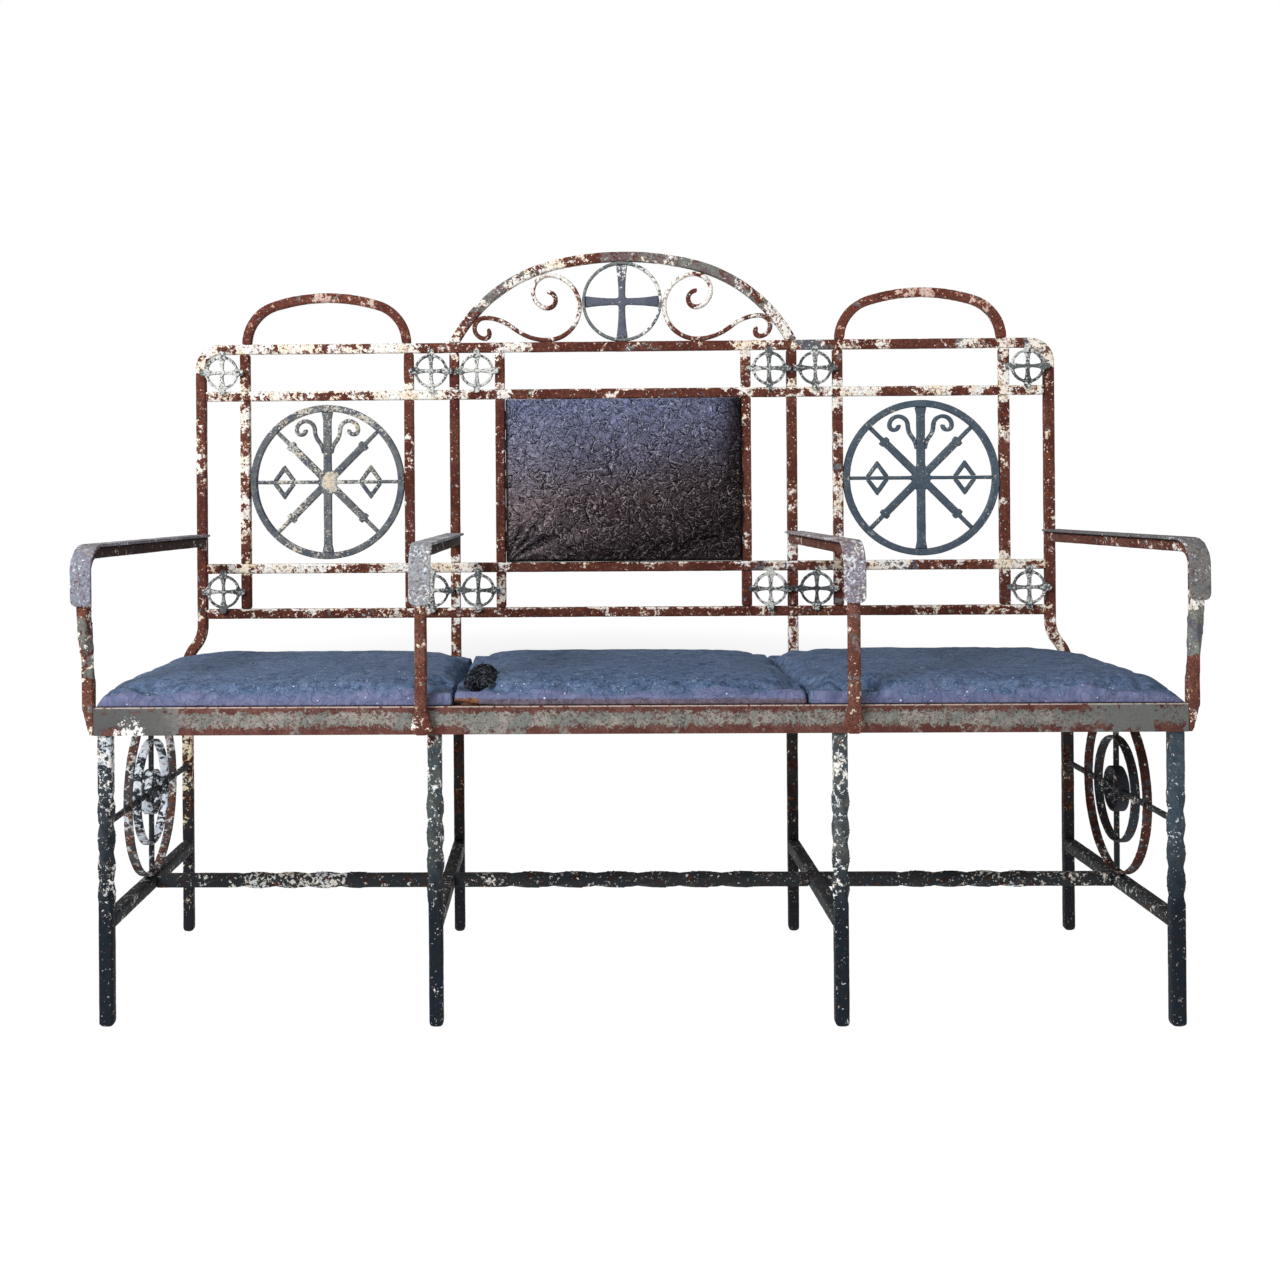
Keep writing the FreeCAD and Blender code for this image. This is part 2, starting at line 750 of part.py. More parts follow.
def inner_arm_bar():
    """The left inner arm: a spade foot on the front rail's face and the bent bar."""
    x, y, post_x = -inner_arm_x, inner_arm_y, -divider_x
    _, length = arm_direction(x, y, post_x)
    high = seat_height + arm_bar
    bent = thick(bent_strip(high, length + cap_width, arm_bar, 0), arm_bar, 0)
    half, wide = arm_bar / 2, spade_width / 2
    shoulder, heel = seat_height - spade_taper, rail_low + spade_round
    outline = ((-half, high), (half, high), (half, seat_height), (wide, shoulder), (wide, heel),
               (wide - spade_round, rail_low), (spade_round - wide, rail_low), (-wide, heel),
               (-wide, shoulder), (-half, seat_height))
    front_view = thick(polygon_face(outline), arm_bar, 0)
    side_outline = ((-half, high), (half, high), (half, rail_low), (half - spade_thickness, rail_low),
                    (half - spade_thickness, shoulder), (-half, seat_height))
    side_view = turned(thick(polygon_face(side_outline), spade_width, 0), V(0, 0, 0), Z_AXIS, 90)
    return joined([moved(front_view.common(side_view), x=x, y=y), run_to_post(bent, x, y, post_x)])


# Squabs and back pad

def pad_form(half_width, half_depth_of_pad, low, edge, crown):
    """A crowned form, flat underneath, whose sides draw in between its corners."""
    wires = []
    stations = ((1, pad_end_rise_share, 0),
                (pad_haunch_place_share, pad_haunch_rise_share, pad_haunch_draw_share),
                (pad_quarter_place_share, pad_quarter_rise_share, pad_quarter_draw_share))
    table = [(-place, rise, draw) for place, rise, draw in stations]
    table.append((0, 1, 1))
    table += [(place, rise, draw) for place, rise, draw in reversed(stations)]
    for place, rise, draw in table:
        x = place * half_width
        y = half_depth_of_pad - draw * pad_draw_in
        shoulder = low + edge
        base_left, base_right = V(x, -y, low), V(x, y, low)
        edge_left, edge_right = V(x, -y, shoulder), V(x, y, shoulder)
        top = Part.Arc(edge_right, V(x, 0, shoulder + crown * rise), edge_left).toShape()
        wires.append(Part.Wire([Part.LineSegment(base_left, base_right).toShape(),
                                Part.LineSegment(base_right, edge_right).toShape(), top,
                                Part.LineSegment(edge_left, base_left).toShape()]))
    return Part.makeLoft(wires, True, False)


def rounded_board(half_width, half_depth_of_board, low, high):
    """A board with rounded corners."""
    board = block(-half_width, half_width, -half_depth_of_board, half_depth_of_board, low, high)
    return board.makeFillet(board_round, edges_along(board, "Z"))


def upholstered(half_width, half_depth_of_pad, edge, crown):
    """Board, stuffing and cover of one pad, lying flat on Z = 0."""
    skin = cover_wall + soft_gap
    inset = skin + pad_draw_in
    board = rounded_board(half_width - inset, half_depth_of_pad - inset, 0, board_thickness)
    low = board_thickness + soft_gap
    stuffing = pad_form(half_width - skin, half_depth_of_pad - skin, low, edge, crown)
    outer = pad_form(half_width, half_depth_of_pad, soft_gap, board_thickness + edge + skin, crown)
    hollow = pad_form(half_width - cover_wall, half_depth_of_pad - cover_wall, -overrun,
                      overrun + board_thickness + edge + 2 * soft_gap, crown)
    return board, stuffing, outer.cut(hollow)


def seat_squabs():
    """Three squabs side by side on the seat frame, none quite the same width."""
    row = 2 * (end_face - squab_side_set) - 2 * squab_gap
    width_shares = (("left", left_squab_share), ("centre", centre_squab_share),
                    ("right", 1 - left_squab_share - centre_squab_share))
    front = front_face + squab_front_set
    rear = back_front - rosette_depth - squab_rear_gap
    x = squab_side_set - end_face
    squabs = {}
    for name, width_share in width_shares:
        width = row * width_share
        pieces = upholstered(width / 2, (rear - front) / 2, squab_edge, squab_crown)
        squabs[name] = [moved(piece, x=x + width / 2, y=(front + rear) / 2, z=seat_height + soft_gap)
                        for piece in pieces]
        x += width + squab_gap
    return squabs


def back_pad():
    """The pad of the centre bay, its board against the lugs and its crown to the front."""
    half_width = centre_post_x - back_bar / 2 - pad_fit_gap
    half_height = (upper_mid_z - lower_mid_z - back_bar) / 2 - pad_fit_gap
    pieces = upholstered(half_width, half_height, pad_edge, pad_crown)
    placed = []
    for piece in pieces:
        upright = turned(piece, V(0, 0, 0), X_AXIS, 90)
        placed.append(moved(upright, y=back_rear - lug_wall, z=medallion_z))
    return placed


def build():
    """Every sub-part under its node name."""
    parts = {}
    rails = [long_rail(front_face, 1), long_rail(rear_face, -1)]
    parts["seat_front_rail"], parts["seat_rear_rail"] = rails
    for name, side in sides:
        parts["seat_end_rail_" + name] = end_rail(side, rails)
    parts["seat_bearers"] = bearers()

    leg_names = ("outer_left", "inner_left", "inner_right", "outer_right")
    for name, x in zip(leg_names, leg_places):
        parts["front_leg_" + name] = front_leg(x)
    rear_legs = [rear_leg(x) for x in leg_places]
    parts["rear_legs"] = Part.makeCompound(rear_legs)
    parts["stretcher_end_left"] = cross_stretcher(-outer_leg_x)
    parts["stretcher_end_right"] = cross_stretcher(outer_leg_x)
    inner_stretchers = [cross_stretcher(-inner_leg_x), cross_stretcher(inner_leg_x)]
    parts["stretchers_inner"] = Part.makeCompound(inner_stretchers)
    parts["long_stretcher"] = long_stretcher()

    all_rods = []
    for name, side in sides:
        x = side * outer_leg_x
        legs = [parts["front_leg_outer_" + name], rear_legs[0 if side < 0 else 3]]
        rods = roundel_rods(x, legs)
        all_rods += rods
        parts["roundel_ring_" + name] = roundel_ring(outer_ring_radius, roundel_band_width, x, rods)
        inner_rings = [roundel_ring(outer_ring_radius * middle_ring_share, roundel_band_width, x, rods),
                       roundel_ring(outer_ring_radius * hub_ring_share, hub_band_width, x, rods)]
        parts["roundel_inner_rings_" + name] = Part.makeCompound(inner_rings)
    parts["roundel_rods"] = Part.makeCompound(all_rods)

    short_posts = (side_post_outer_x, side_post_inner_x, centre_post_x)
    short_places = [side * x for x in short_posts for side in (-1, 1)]
    divider_places = [-divider_x, divider_x]
    parts["back_frame_bar"] = back_frame_bar()
    parts["upper_mid_rail"] = back_rail(upper_mid_z, short_places + divider_places)
    parts["lower_mid_rail"] = back_rail(lower_mid_z, short_places + divider_places)
    parts["bottom_back_rail"] = back_rail(bottom_rail_z, divider_places)
    bottom_rail_top = bottom_rail_z + back_bar / 2
    mid_rails = (upper_mid_z, lower_mid_z)
    for name, side in sides:
        parts["divider_post_" + name] = back_post(side * divider_x, seat_height, mid_rails + (bottom_rail_z,))
        parts["side_posts_" + name] = Part.makeCompound(
            [back_post(side * x, bottom_rail_top, mid_rails) for x in (side_post_outer_x, side_post_inner_x)])
    centre_posts = []
    for x in (-centre_post_x, centre_post_x):
        centre_posts.append(joined([back_post(x, bottom_rail_top, mid_rails)] + pad_lugs(x)))
    parts["centre_posts"] = Part.makeCompound(centre_posts)
    for name, side in sides:
        parts["side_hoop_" + name] = side_hoop(side * bay_x)
    lozenge_x = medallion_radius * lozenge_offset_share
    chevrons = [moved(half, x=x) for x in (-lozenge_x, lozenge_x) for half in lozenge_halves()]
    parts["medallion_rims"] = in_both_bays([medallion_rim()])
    parts["medallion_spokes"] = in_both_bays(medallion_spokes())
    parts["medallion_lozenges"] = in_both_bays(chevrons)
    parts["medallion_scrolls"] = in_both_bays(medallion_scrolls())
    parts["crest_arch"] = crest_arch()
    parts["crest_ring"] = crest_ring()
    parts["crest_cross"] = crest_cross()
    parts["crest_scroll_left"] = crest_scroll()
    parts["crest_scroll_right"] = mirror_x(crest_scroll())
    parts["rosettes"] = rosettes()

    arms = {"outer": (outer_arm_bar(), arm_cap(-outer_arm_x, outer_arm_y, -outer_post_x)),
            "inner": (inner_arm_bar(), arm_cap(-inner_arm_x, inner_arm_y, -divider_x))}
    for place, (bar, cap) in arms.items():
        parts["arm_bar_" + place + "_left"] = bar
        parts["arm_bar_" + place + "_right"] = mirror_x(bar)
        parts["arm_cap_" + place + "_left"] = cap
        parts["arm_cap_" + place + "_right"] = mirror_x(cap)

    names = ("board", "stuffing", "cover")
    for name, piece in zip(names, back_pad()):
        parts["back_pad_" + name] = piece
    for place, pieces in seat_squabs().items():
        for name, piece in zip(names, pieces):
            parts["squab_" + name + "_" + place] = piece
    return parts


os.makedirs("parts", exist_ok=True)
for node, shape in build().items():
    shape.exportStep("parts/" + node + ".step")
    print(node, len(shape.Solids), "valid" if shape.isValid() else "NOT VALID", round(shape.Volume))
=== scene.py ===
import json
import math

import bmesh
import bpy
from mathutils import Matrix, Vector, noise


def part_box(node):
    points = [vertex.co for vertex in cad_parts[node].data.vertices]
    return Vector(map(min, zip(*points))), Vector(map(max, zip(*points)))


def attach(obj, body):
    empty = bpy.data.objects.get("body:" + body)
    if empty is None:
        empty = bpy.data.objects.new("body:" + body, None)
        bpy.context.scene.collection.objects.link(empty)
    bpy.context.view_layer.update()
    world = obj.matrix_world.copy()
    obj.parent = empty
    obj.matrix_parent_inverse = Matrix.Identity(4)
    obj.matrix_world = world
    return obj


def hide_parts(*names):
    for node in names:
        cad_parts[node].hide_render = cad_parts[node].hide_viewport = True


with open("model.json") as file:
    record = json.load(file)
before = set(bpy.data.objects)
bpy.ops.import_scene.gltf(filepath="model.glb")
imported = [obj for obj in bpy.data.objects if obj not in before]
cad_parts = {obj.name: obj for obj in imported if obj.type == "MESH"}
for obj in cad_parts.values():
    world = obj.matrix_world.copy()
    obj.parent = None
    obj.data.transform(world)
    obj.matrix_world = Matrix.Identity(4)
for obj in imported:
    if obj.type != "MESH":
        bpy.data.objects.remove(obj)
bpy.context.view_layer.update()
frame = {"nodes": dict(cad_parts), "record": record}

# Looks of the wrought-iron settee: metres, X along the seat, front towards -Y, floor at Z = 0.

mm = 0.001
bodies = frame["record"]["behaviour"]["bodies"]
body_of_node = {node: body for body, nodes in bodies.items() for node in nodes}

# Camera, fitted to the photograph's frame
camera_place = (-88.4 * mm, -2278.6 * mm, 726.2 * mm)
camera_angles = (90.0731, 0.419, 1.1754)
camera_lens = 43.015
camera_shift = (0.0797, -0.12)

# Studio light: name, place, size and power of each lamp, and the sky's strength on either side
lamps = (("key", (-2.6, -2.8, 2.8), 1.3, 165), ("fill", (1.8, -2.6, 2.2), 2.2, 8))
sky_left = 0.62
sky_right = 0.15

# Paint left on the back frame, as a share of the surface from each place on, in millimetres along X
top_rail_paint = ((-760, 0.62), (-609, 0.72), (-509, 0.45), (-410, 0.8), (-339, 0.2), (-218, 0.6),
                  (-153, 0.08), (173, 0.6), (284, 0.2), (387, 0.05), (412, 0.36), (435, 0.06), (541, 0.25),
                  (566, 0.4), (638, 0.06), (654, 0.45))
upper_mid_paint = ((-760, 0.46), (-604, 0.74), (-545, 0.42), (-410, 0.8), (-297, 0.3), (-208, 0.85),
                   (-188, 0.15), (189, 0.85), (209, 0.25), (265, 0.5), (364, 0.9), (414, 0.1),
                   (469, 0.75), (535, 0.1), (554, 0.7), (576, 0.35), (612, 0.9), (632, 0.5))
lower_mid_paint = ((-760, 0.5), (-601, 0.8), (-498, 0.45), (-390, 0.85), (-308, 0.7), (-241, 0.1),
                   (-208, 0.4), (-188, 0.01), (192, 0.3), (284, 0.3), (394, 0.7), (423, 0.5),
                   (472, 0.1), (592, 0.75), (633, 0.6))
bottom_rail_paint = ((-760, 0.28), (-300, 0.16), (19, 0.4), (42, 0.15), (492, 0.5), (512, 0.12), (579, 0.35))
arch_paint = ((-300, 0.4), (-240, 0.22), (-195, 0.5), (-100, 0.25), (-27, 0.3), (80, 0.16), (125, 0.12),
              (191, 0.5))
hoop_paint = ((-560, 0.12), (-506, 0.4), (-468, 0.14), (-421, 0.5), (-409, 0.12), (366, 0.36), (383, 0.14),
              (473, 0.44), (505, 0.16))

# Paint left on each post, as a share of the surface from each height on, in millimetres along Z
post_paint = {
    -694: ((0, 0.3), (520, 0.08), (736, 0.35), (828, 0.1), (915, 0.8)),
    -621: ((0, 0.08), (590, 0.42), (674, 0.8), (704, 0.5), (873, 0.85), (890, 0.08)),
    -351: ((0, 0.17), (873, 0.8), (890, 0.12)),
    -276: ((0, 0.2), (500, 0.6), (556, 0.55), (614, 0.08), (873, 0.6), (890, 0.08), (940, 0.4)),
    -201: ((0, 0.1), (531, 0.65), (581, 0.05), (873, 0.7), (890, 0.05), (935, 0.8)),
    201: ((0, 0.08), (679, 0.4), (712, 0.15), (818, 0.3), (873, 0.85), (890, 0.1), (930, 0.8)),
    276: ((0, 0.5), (516, 0.15), (606, 0.6), (646, 0.15), (687, 0.3), (777, 0.15), (873, 0.7), (890, 0.1)),
    351: ((0, 0.1), (579, 0.65), (610, 0.28), (671, 0.42), (753, 0.3), (843, 0.7), (890, 0.2)),
    621: ((0, 0.1), (579, 0.85), (610, 0.14), (687, 0.5), (704, 0.1), (750, 0.4), (786, 0.6),
          (825, 0.2), (861, 0.85), (907, 0.3)),
    694: ((0, 0.35), (520, 0.15), (915, 0.75)),
}

# An older grey coat under the paint of some bars, as shares along X
top_rail_old = ((-760, 0.12), (-176, 0.35), (-153, 0.08), (-60, 0.25), (60, 0.06), (284, 0.75), (331, 0.1),
                (541, 0.65), (566, 0.12), (654, 0.6))
lower_mid_old = ((-760, 0.1), (-208, 0.04), (208, 0.6), (270, 0.2), (423, 0.65), (472, 0.08))
post_old = ((-800, 0.06), (300, 0.25), (400, 0.08))
arch_old = ((-300, 0.15), (-255, 0.75), (-195, 0.5), (-120, 0.1), (-35, 0.85), (191, 0.6), (240, 0.3))
ring_paint = ((-70, 0.15), (10, 0.3), (30, 0.55), (55, 0.4))

# The middle of each crest scroll's inner curl, on X either side and on Z
curl_middle = (115 * mm, 1034 * mm)

# Rust on the seat rails, along X on the front one and along Y on the end ones: how far it has eaten, and
# how full the row of it along the top edge is
front_rail_wear = ((-760, 0.3), (-725, 0.7), (-700, 0.02), (-622, 0.8), (-330, 0.45), (-290, 0.9),
                   (-240, 0.3), (-150, 0.7), (60, 0.95), (330, 0.75), (430, 0.5), (560, 0.6),
                   (625, 0.05), (690, 0.95), (722, 0.1))
end_rail_wear = ((-300, 0.3), (-170, 0.6), (-60, 0.4), (70, 0.75), (160, 0.45))
top_row_wear = ((-760, 0.1), (-622, 1.0), (600, 0.1))
end_row_wear = ((-300, 0.5),)

# Light flakes left on legs and stretchers, as shares along Z or X
leg_flakes = {
    "outer_left": ((0, 0.02), (70, 0.08), (130, 0.16), (190, 0.23), (240, 0.28), (330, 0.32), (400, 0.34)),
    "inner_left": ((0, 0.02), (180, 0.1), (260, 0.22), (330, 0.12), (370, 0.25)),
    "inner_right": ((0, 0.02), (120, 0.12), (200, 0.22), (290, 0.34), (380, 0.25)),
    "outer_right": ((0, 0.0), (150, 0.02), (240, 0.1), (330, 0.05), (390, 0.16)),
}
rear_leg_flakes = ((-800, 0.62), (-450, 0.03), (200, 0.08), (450, 0.02))
long_stretcher_flakes = ((-800, 0.08), (-600, 0.4), (-430, 0.07), (-250, 0.2), (-150, 0.08), (330, 0.06),
                         (480, 0.22))

# Coats on the seat rails near their ends: table along X, how far the border wanders, and the colour
rail_end_coats = ((((-760, 1.0), (-650, 0.9), (-590, 0.0)), 40 * mm, (0.070, 0.082, 0.085)),
                  (((500, 0.0), (660, 0.9)), 90 * mm, (0.125, 0.140, 0.135)))

# What the tables run from and to along an axis, and a share that leaves no bare metal
table_reach = (-800 * mm, 1200 * mm)
full_coat = 1.1

# Colours as light values
white_paint = (0.86, 0.84, 0.79)
cream_paint = (0.85, 0.73, 0.55)
bluish_white = (0.60, 0.65, 0.72)
grey_green = (0.20, 0.225, 0.20)
blue_grey = (0.10, 0.125, 0.165)
slate_paint = (0.060, 0.075, 0.095)
teal_black = (0.016, 0.022, 0.026)
navy_paint = (0.006, 0.012, 0.018)
mauve_grey = (0.17, 0.125, 0.13)
rust_red = (0.105, 0.022, 0.014)
rust_brown = (0.165, 0.05, 0.032)
rust_orange = (0.34, 0.105, 0.035)
rust_dark = (0.030, 0.010, 0.008)

# Colours of the hoops, the crest's cross, the medallions and the cast rosettes
hoop_cream, hoop_grey = (0.66, 0.47, 0.41), (0.56, 0.46, 0.40)
hoop_rust, hoop_brown = (0.15, 0.034, 0.022), (0.20, 0.062, 0.04)
cross_slate, cross_pale = (0.092, 0.102, 0.145), (0.125, 0.135, 0.175)
medal_white, medal_cream = (0.52, 0.52, 0.47), (0.72, 0.60, 0.44)
medal_left = ((0.085, 0.100, 0.130), (0.17, 0.175, 0.175))
medal_right = ((0.060, 0.090, 0.125), (0.088, 0.118, 0.148))
cast_white, cast_grey = (0.70, 0.70, 0.66), (0.46, 0.48, 0.46)
cast_dark, cast_green = (0.030, 0.040, 0.045), (0.12, 0.14, 0.14)

# Colours of the arms and of the strips along their tops
arm_green, arm_black = (0.16, 0.18, 0.165), (0.018, 0.012, 0.012)
arm_rust, arm_brown = (0.13, 0.036, 0.025), (0.21, 0.085, 0.06)
cap_lilac, cap_violet = (0.25, 0.27, 0.335), (0.27, 0.26, 0.32)
cap_greys = ((0.24, 0.24, 0.27), (0.3, 0.27, 0.29))
cap_mauves = ((0.25, 0.19, 0.19), (0.31, 0.25, 0.25))
cap_pale = ((0.30, 0.33, 0.37), (0.39, 0.42, 0.44))
cap_dull = ((0.155, 0.165, 0.175), (0.21, 0.215, 0.21))

# Colours of the seat rails
rail_green, rail_grey, rail_smudge = (0.19, 0.21, 0.19), (0.34, 0.32, 0.285), (0.10, 0.105, 0.10)
rail_pit, rail_line = (0.1, 0.07, 0.06), (0.6, 0.5, 0.45)
rail_rust, rail_brown = (0.12, 0.034, 0.028), (0.19, 0.078, 0.062)

# Front legs: the pair of coats on the upper part of each, and how much of it they cover along Z
leg_coats = {
    "outer_left": (((0.020, 0.030, 0.038), (0.045, 0.058, 0.07)), ((0, 1.1), (350, 0.85))),
    "inner_left": (((0.085, 0.098, 0.09), (0.04, 0.06, 0.075)), ((0, 1.1), (330, 0.8), (375, 0.35))),
    "inner_right": (((0.05, 0.068, 0.08), (0.12, 0.13, 0.125)), ((0, 1.1), (350, 0.85))),
    "outer_right": (((0.036, 0.060, 0.082), (0.066, 0.09, 0.108)), ((0, 1.1), (350, 0.85))),
}
leg_foot = (0.004, 0.010, 0.017)
leg_rust, leg_brown = (0.045, 0.018, 0.013), (0.075, 0.03, 0.022)
rear_cream, rear_grey, rear_black = (0.66, 0.56, 0.38), (0.55, 0.53, 0.44), (0.03, 0.028, 0.025)

# Colours of the stretchers and of the roundels' rings
dark_rusts = ((0.020, 0.010, 0.008), (0.045, 0.018, 0.012))
stretcher_blacks = (teal_black, (0.020, 0.022, 0.024))
long_white, dull_white, dull_grey = (0.62, 0.60, 0.54), (0.5, 0.51, 0.5), (0.4, 0.4, 0.38)
ring_white, ring_blue = (0.46, 0.48, 0.47), (0.46, 0.53, 0.63)
ring_rust, ring_brown = (0.085, 0.03, 0.02), (0.13, 0.055, 0.035)
ring_dark, ring_dull = (0.05, 0.018, 0.013), (0.08, 0.03, 0.022)
inner_black, inner_rust, inner_brown = (0.03, 0.038, 0.05), (0.03, 0.013, 0.01), (0.06, 0.024, 0.018)

# Colours of the squabs' covers, of the tear and of the bare corner
vinyl_dark_blotch, vinyl_deep, vinyl_blue = (0.020, 0.038, 0.080), (0.056, 0.102, 0.195), (0.085, 0.134, 0.238)
vinyl_worn, vinyl_vein, vinyl_fleck = (0.175, 0.232, 0.345), (0.24, 0.30, 0.43), (0.28, 0.35, 0.46)
vinyl_scratch, vinyl_speck = (0.42, 0.45, 0.55), (0.70, 0.72, 0.76)
# The front band's colours: partly fading, partly painted light for the front side reflecting less sky than
# the top
band_blue, band_lilac = (0.092, 0.112, 0.220), (0.175, 0.180, 0.310)
hem_brown, hem_mauve = (0.075, 0.045, 0.045), (0.16, 0.11, 0.12)
tear_black, lint_grey = (0.006, 0.006, 0.008), (0.55, 0.55, 0.58)
bare_orange, bare_brown = (0.30, 0.125, 0.055), (0.10, 0.045, 0.03)
hair_black, hair_painted_sheen = (0.003, 0.004, 0.006), (0.085, 0.098, 0.130)
board_late, board_early, board_dirt = (0.16, 0.07, 0.035), (0.36, 0.20, 0.11), (0.06, 0.03, 0.02)

# Colours of the back pad's hide with its painted sky sheen, painted light and painted shade, and the painted
# light and shade of its folds, creases and edges
hide_brown, hide_mauve, hide_painted_light = (0.055, 0.033, 0.035), (0.105, 0.074, 0.078), (0.215, 0.168, 0.178)
hide_painted_sheen, hide_shaded = (0.156, 0.180, 0.305), (0.012, 0.005, 0.007)
fold_painted_shade, fold_lit, edge_painted_shade = (0.006, 0.003, 0.004), (0.17, 0.14, 0.15), (0.004, 0.003, 0.004)
crease_lit, crease_lit_sheen, crease_painted_shade = (0.40, 0.33, 0.34), (0.42, 0.46, 0.62), (0.006, 0.004, 0.006)

# Seat and back covers: cells, rise, crown and how far the sides lean, draw in and stand proud
squab_cell = 5.5 * mm
squab_rise = 20 * mm
squab_crown = 9 * mm
squab_lean = 2 * mm
squab_draw = 0.6 * mm
squab_flare = 8 * mm
squab_proud = 4 * mm
squab_close = 1.2 * mm
corner_round = 0.012
board_clearance = 1.2 * mm
hem_height = 8 * mm
pad_cell = 3.0 * mm
pad_side = 15 * mm
pad_crown = 16 * mm

# The swelling of the covers, and the parts of a squab's cover that are held meanwhile
swell_frames = 20
swell_pressure = 3.0
swell_cap = 7 * mm
held_corner = 14 * mm
held_height = 7 * mm

# The tear at the centre squab's left edge: its middle and half sizes on X and Y, and the slit on its right
tear_middle = (-211 * mm, -146 * mm)
tear_reach = (17 * mm, 50 * mm)
tear_depth = 9 * mm
slit_length = 26 * mm
slit_width = 9 * mm
bare_corner = 34 * mm

# Two dents in the right squab, from its front left corner
right_dents = ((330 * mm, 130 * mm), (398 * mm, 150 * mm))
dent_depth = 3.5 * mm

# Crease patterns of the back pad: spacing, width, stretch, turn and place of each
pad_creases = ((26 * mm, 0.050, (1, 1, 1.7), 0.6, (0.0, 0.0, 0.0)),
               (23 * mm, 0.050, (1, 1, 2.1), -0.35, (0.4, 0.1, 0.3)),
               (28 * mm, 0.045, (1, 1, 1.5), 1.2, (0.7, 0.3, 0.5)),
               (20 * mm, 0.055, (1, 1, 1.9), -0.9, (0.3, 0.8, 0.6)),
               (16 * mm, 0.060, (1, 1, 1.3), 0.2, (0.2, 0.7, 0.1)))
crease_side = (1.6 * mm, 0, -1.6 * mm)

# Folds that fan out from the back pad's lower corners: turn in degrees, width, reach and depth
pad_folds = ((66, 6, 66, -9.0), (57, 5, 80, 5.0), (49, 6, 78, -9.0), (40, 6, 95, 5.0), (30, 7, 110, -9.0),
             (19, 6, 120, 4.0))
pad_folds_right = ((38, 7, 60, -4.0), (26, 6, 85, 3.0), (15, 6, 90, -4.4))
fan_start = 14 * mm

# Curled hair in the tear, and the mound it grows from, in millimetres over the board
hair_count = 440
hair_radius = 0.6 * mm
hair_curl = 7.8 * mm
hair_length = 9 * mm
hair_foot = 13
hair_mound = 15


class Tone:
    """A socket in a finish's node tree, on which sums, products and powers can be written."""

    def __init__(self, finish, socket):
        self.finish = finish
        self.socket = socket

    def maths(self, operation, first, second):
        return self.finish.node("Math", {"operation": operation}, {0: first, 1: second})

    def __add__(self, other):
        return self.maths("ADD", self, other)

    __radd__ = __add__

    def __sub__(self, other):
        return self.maths("SUBTRACT", self, other)

    def __rsub__(self, other):
        return self.maths("SUBTRACT", other, self)

    def __mul__(self, other):
        return self.maths("MULTIPLY", self, other)

    __rmul__ = __mul__

    def __truediv__(self, other):
        return self.maths("DIVIDE", self, other)

    def __pow__(self, other):
        return self.maths("POWER", self, other)

    def __abs__(self):
        return self.finish.node("Math", {"operation": "ABSOLUTE"}, {0: self})

    def or_more(self, other):
        """The larger of two values."""
        return self.maths("MAXIMUM", self, other)


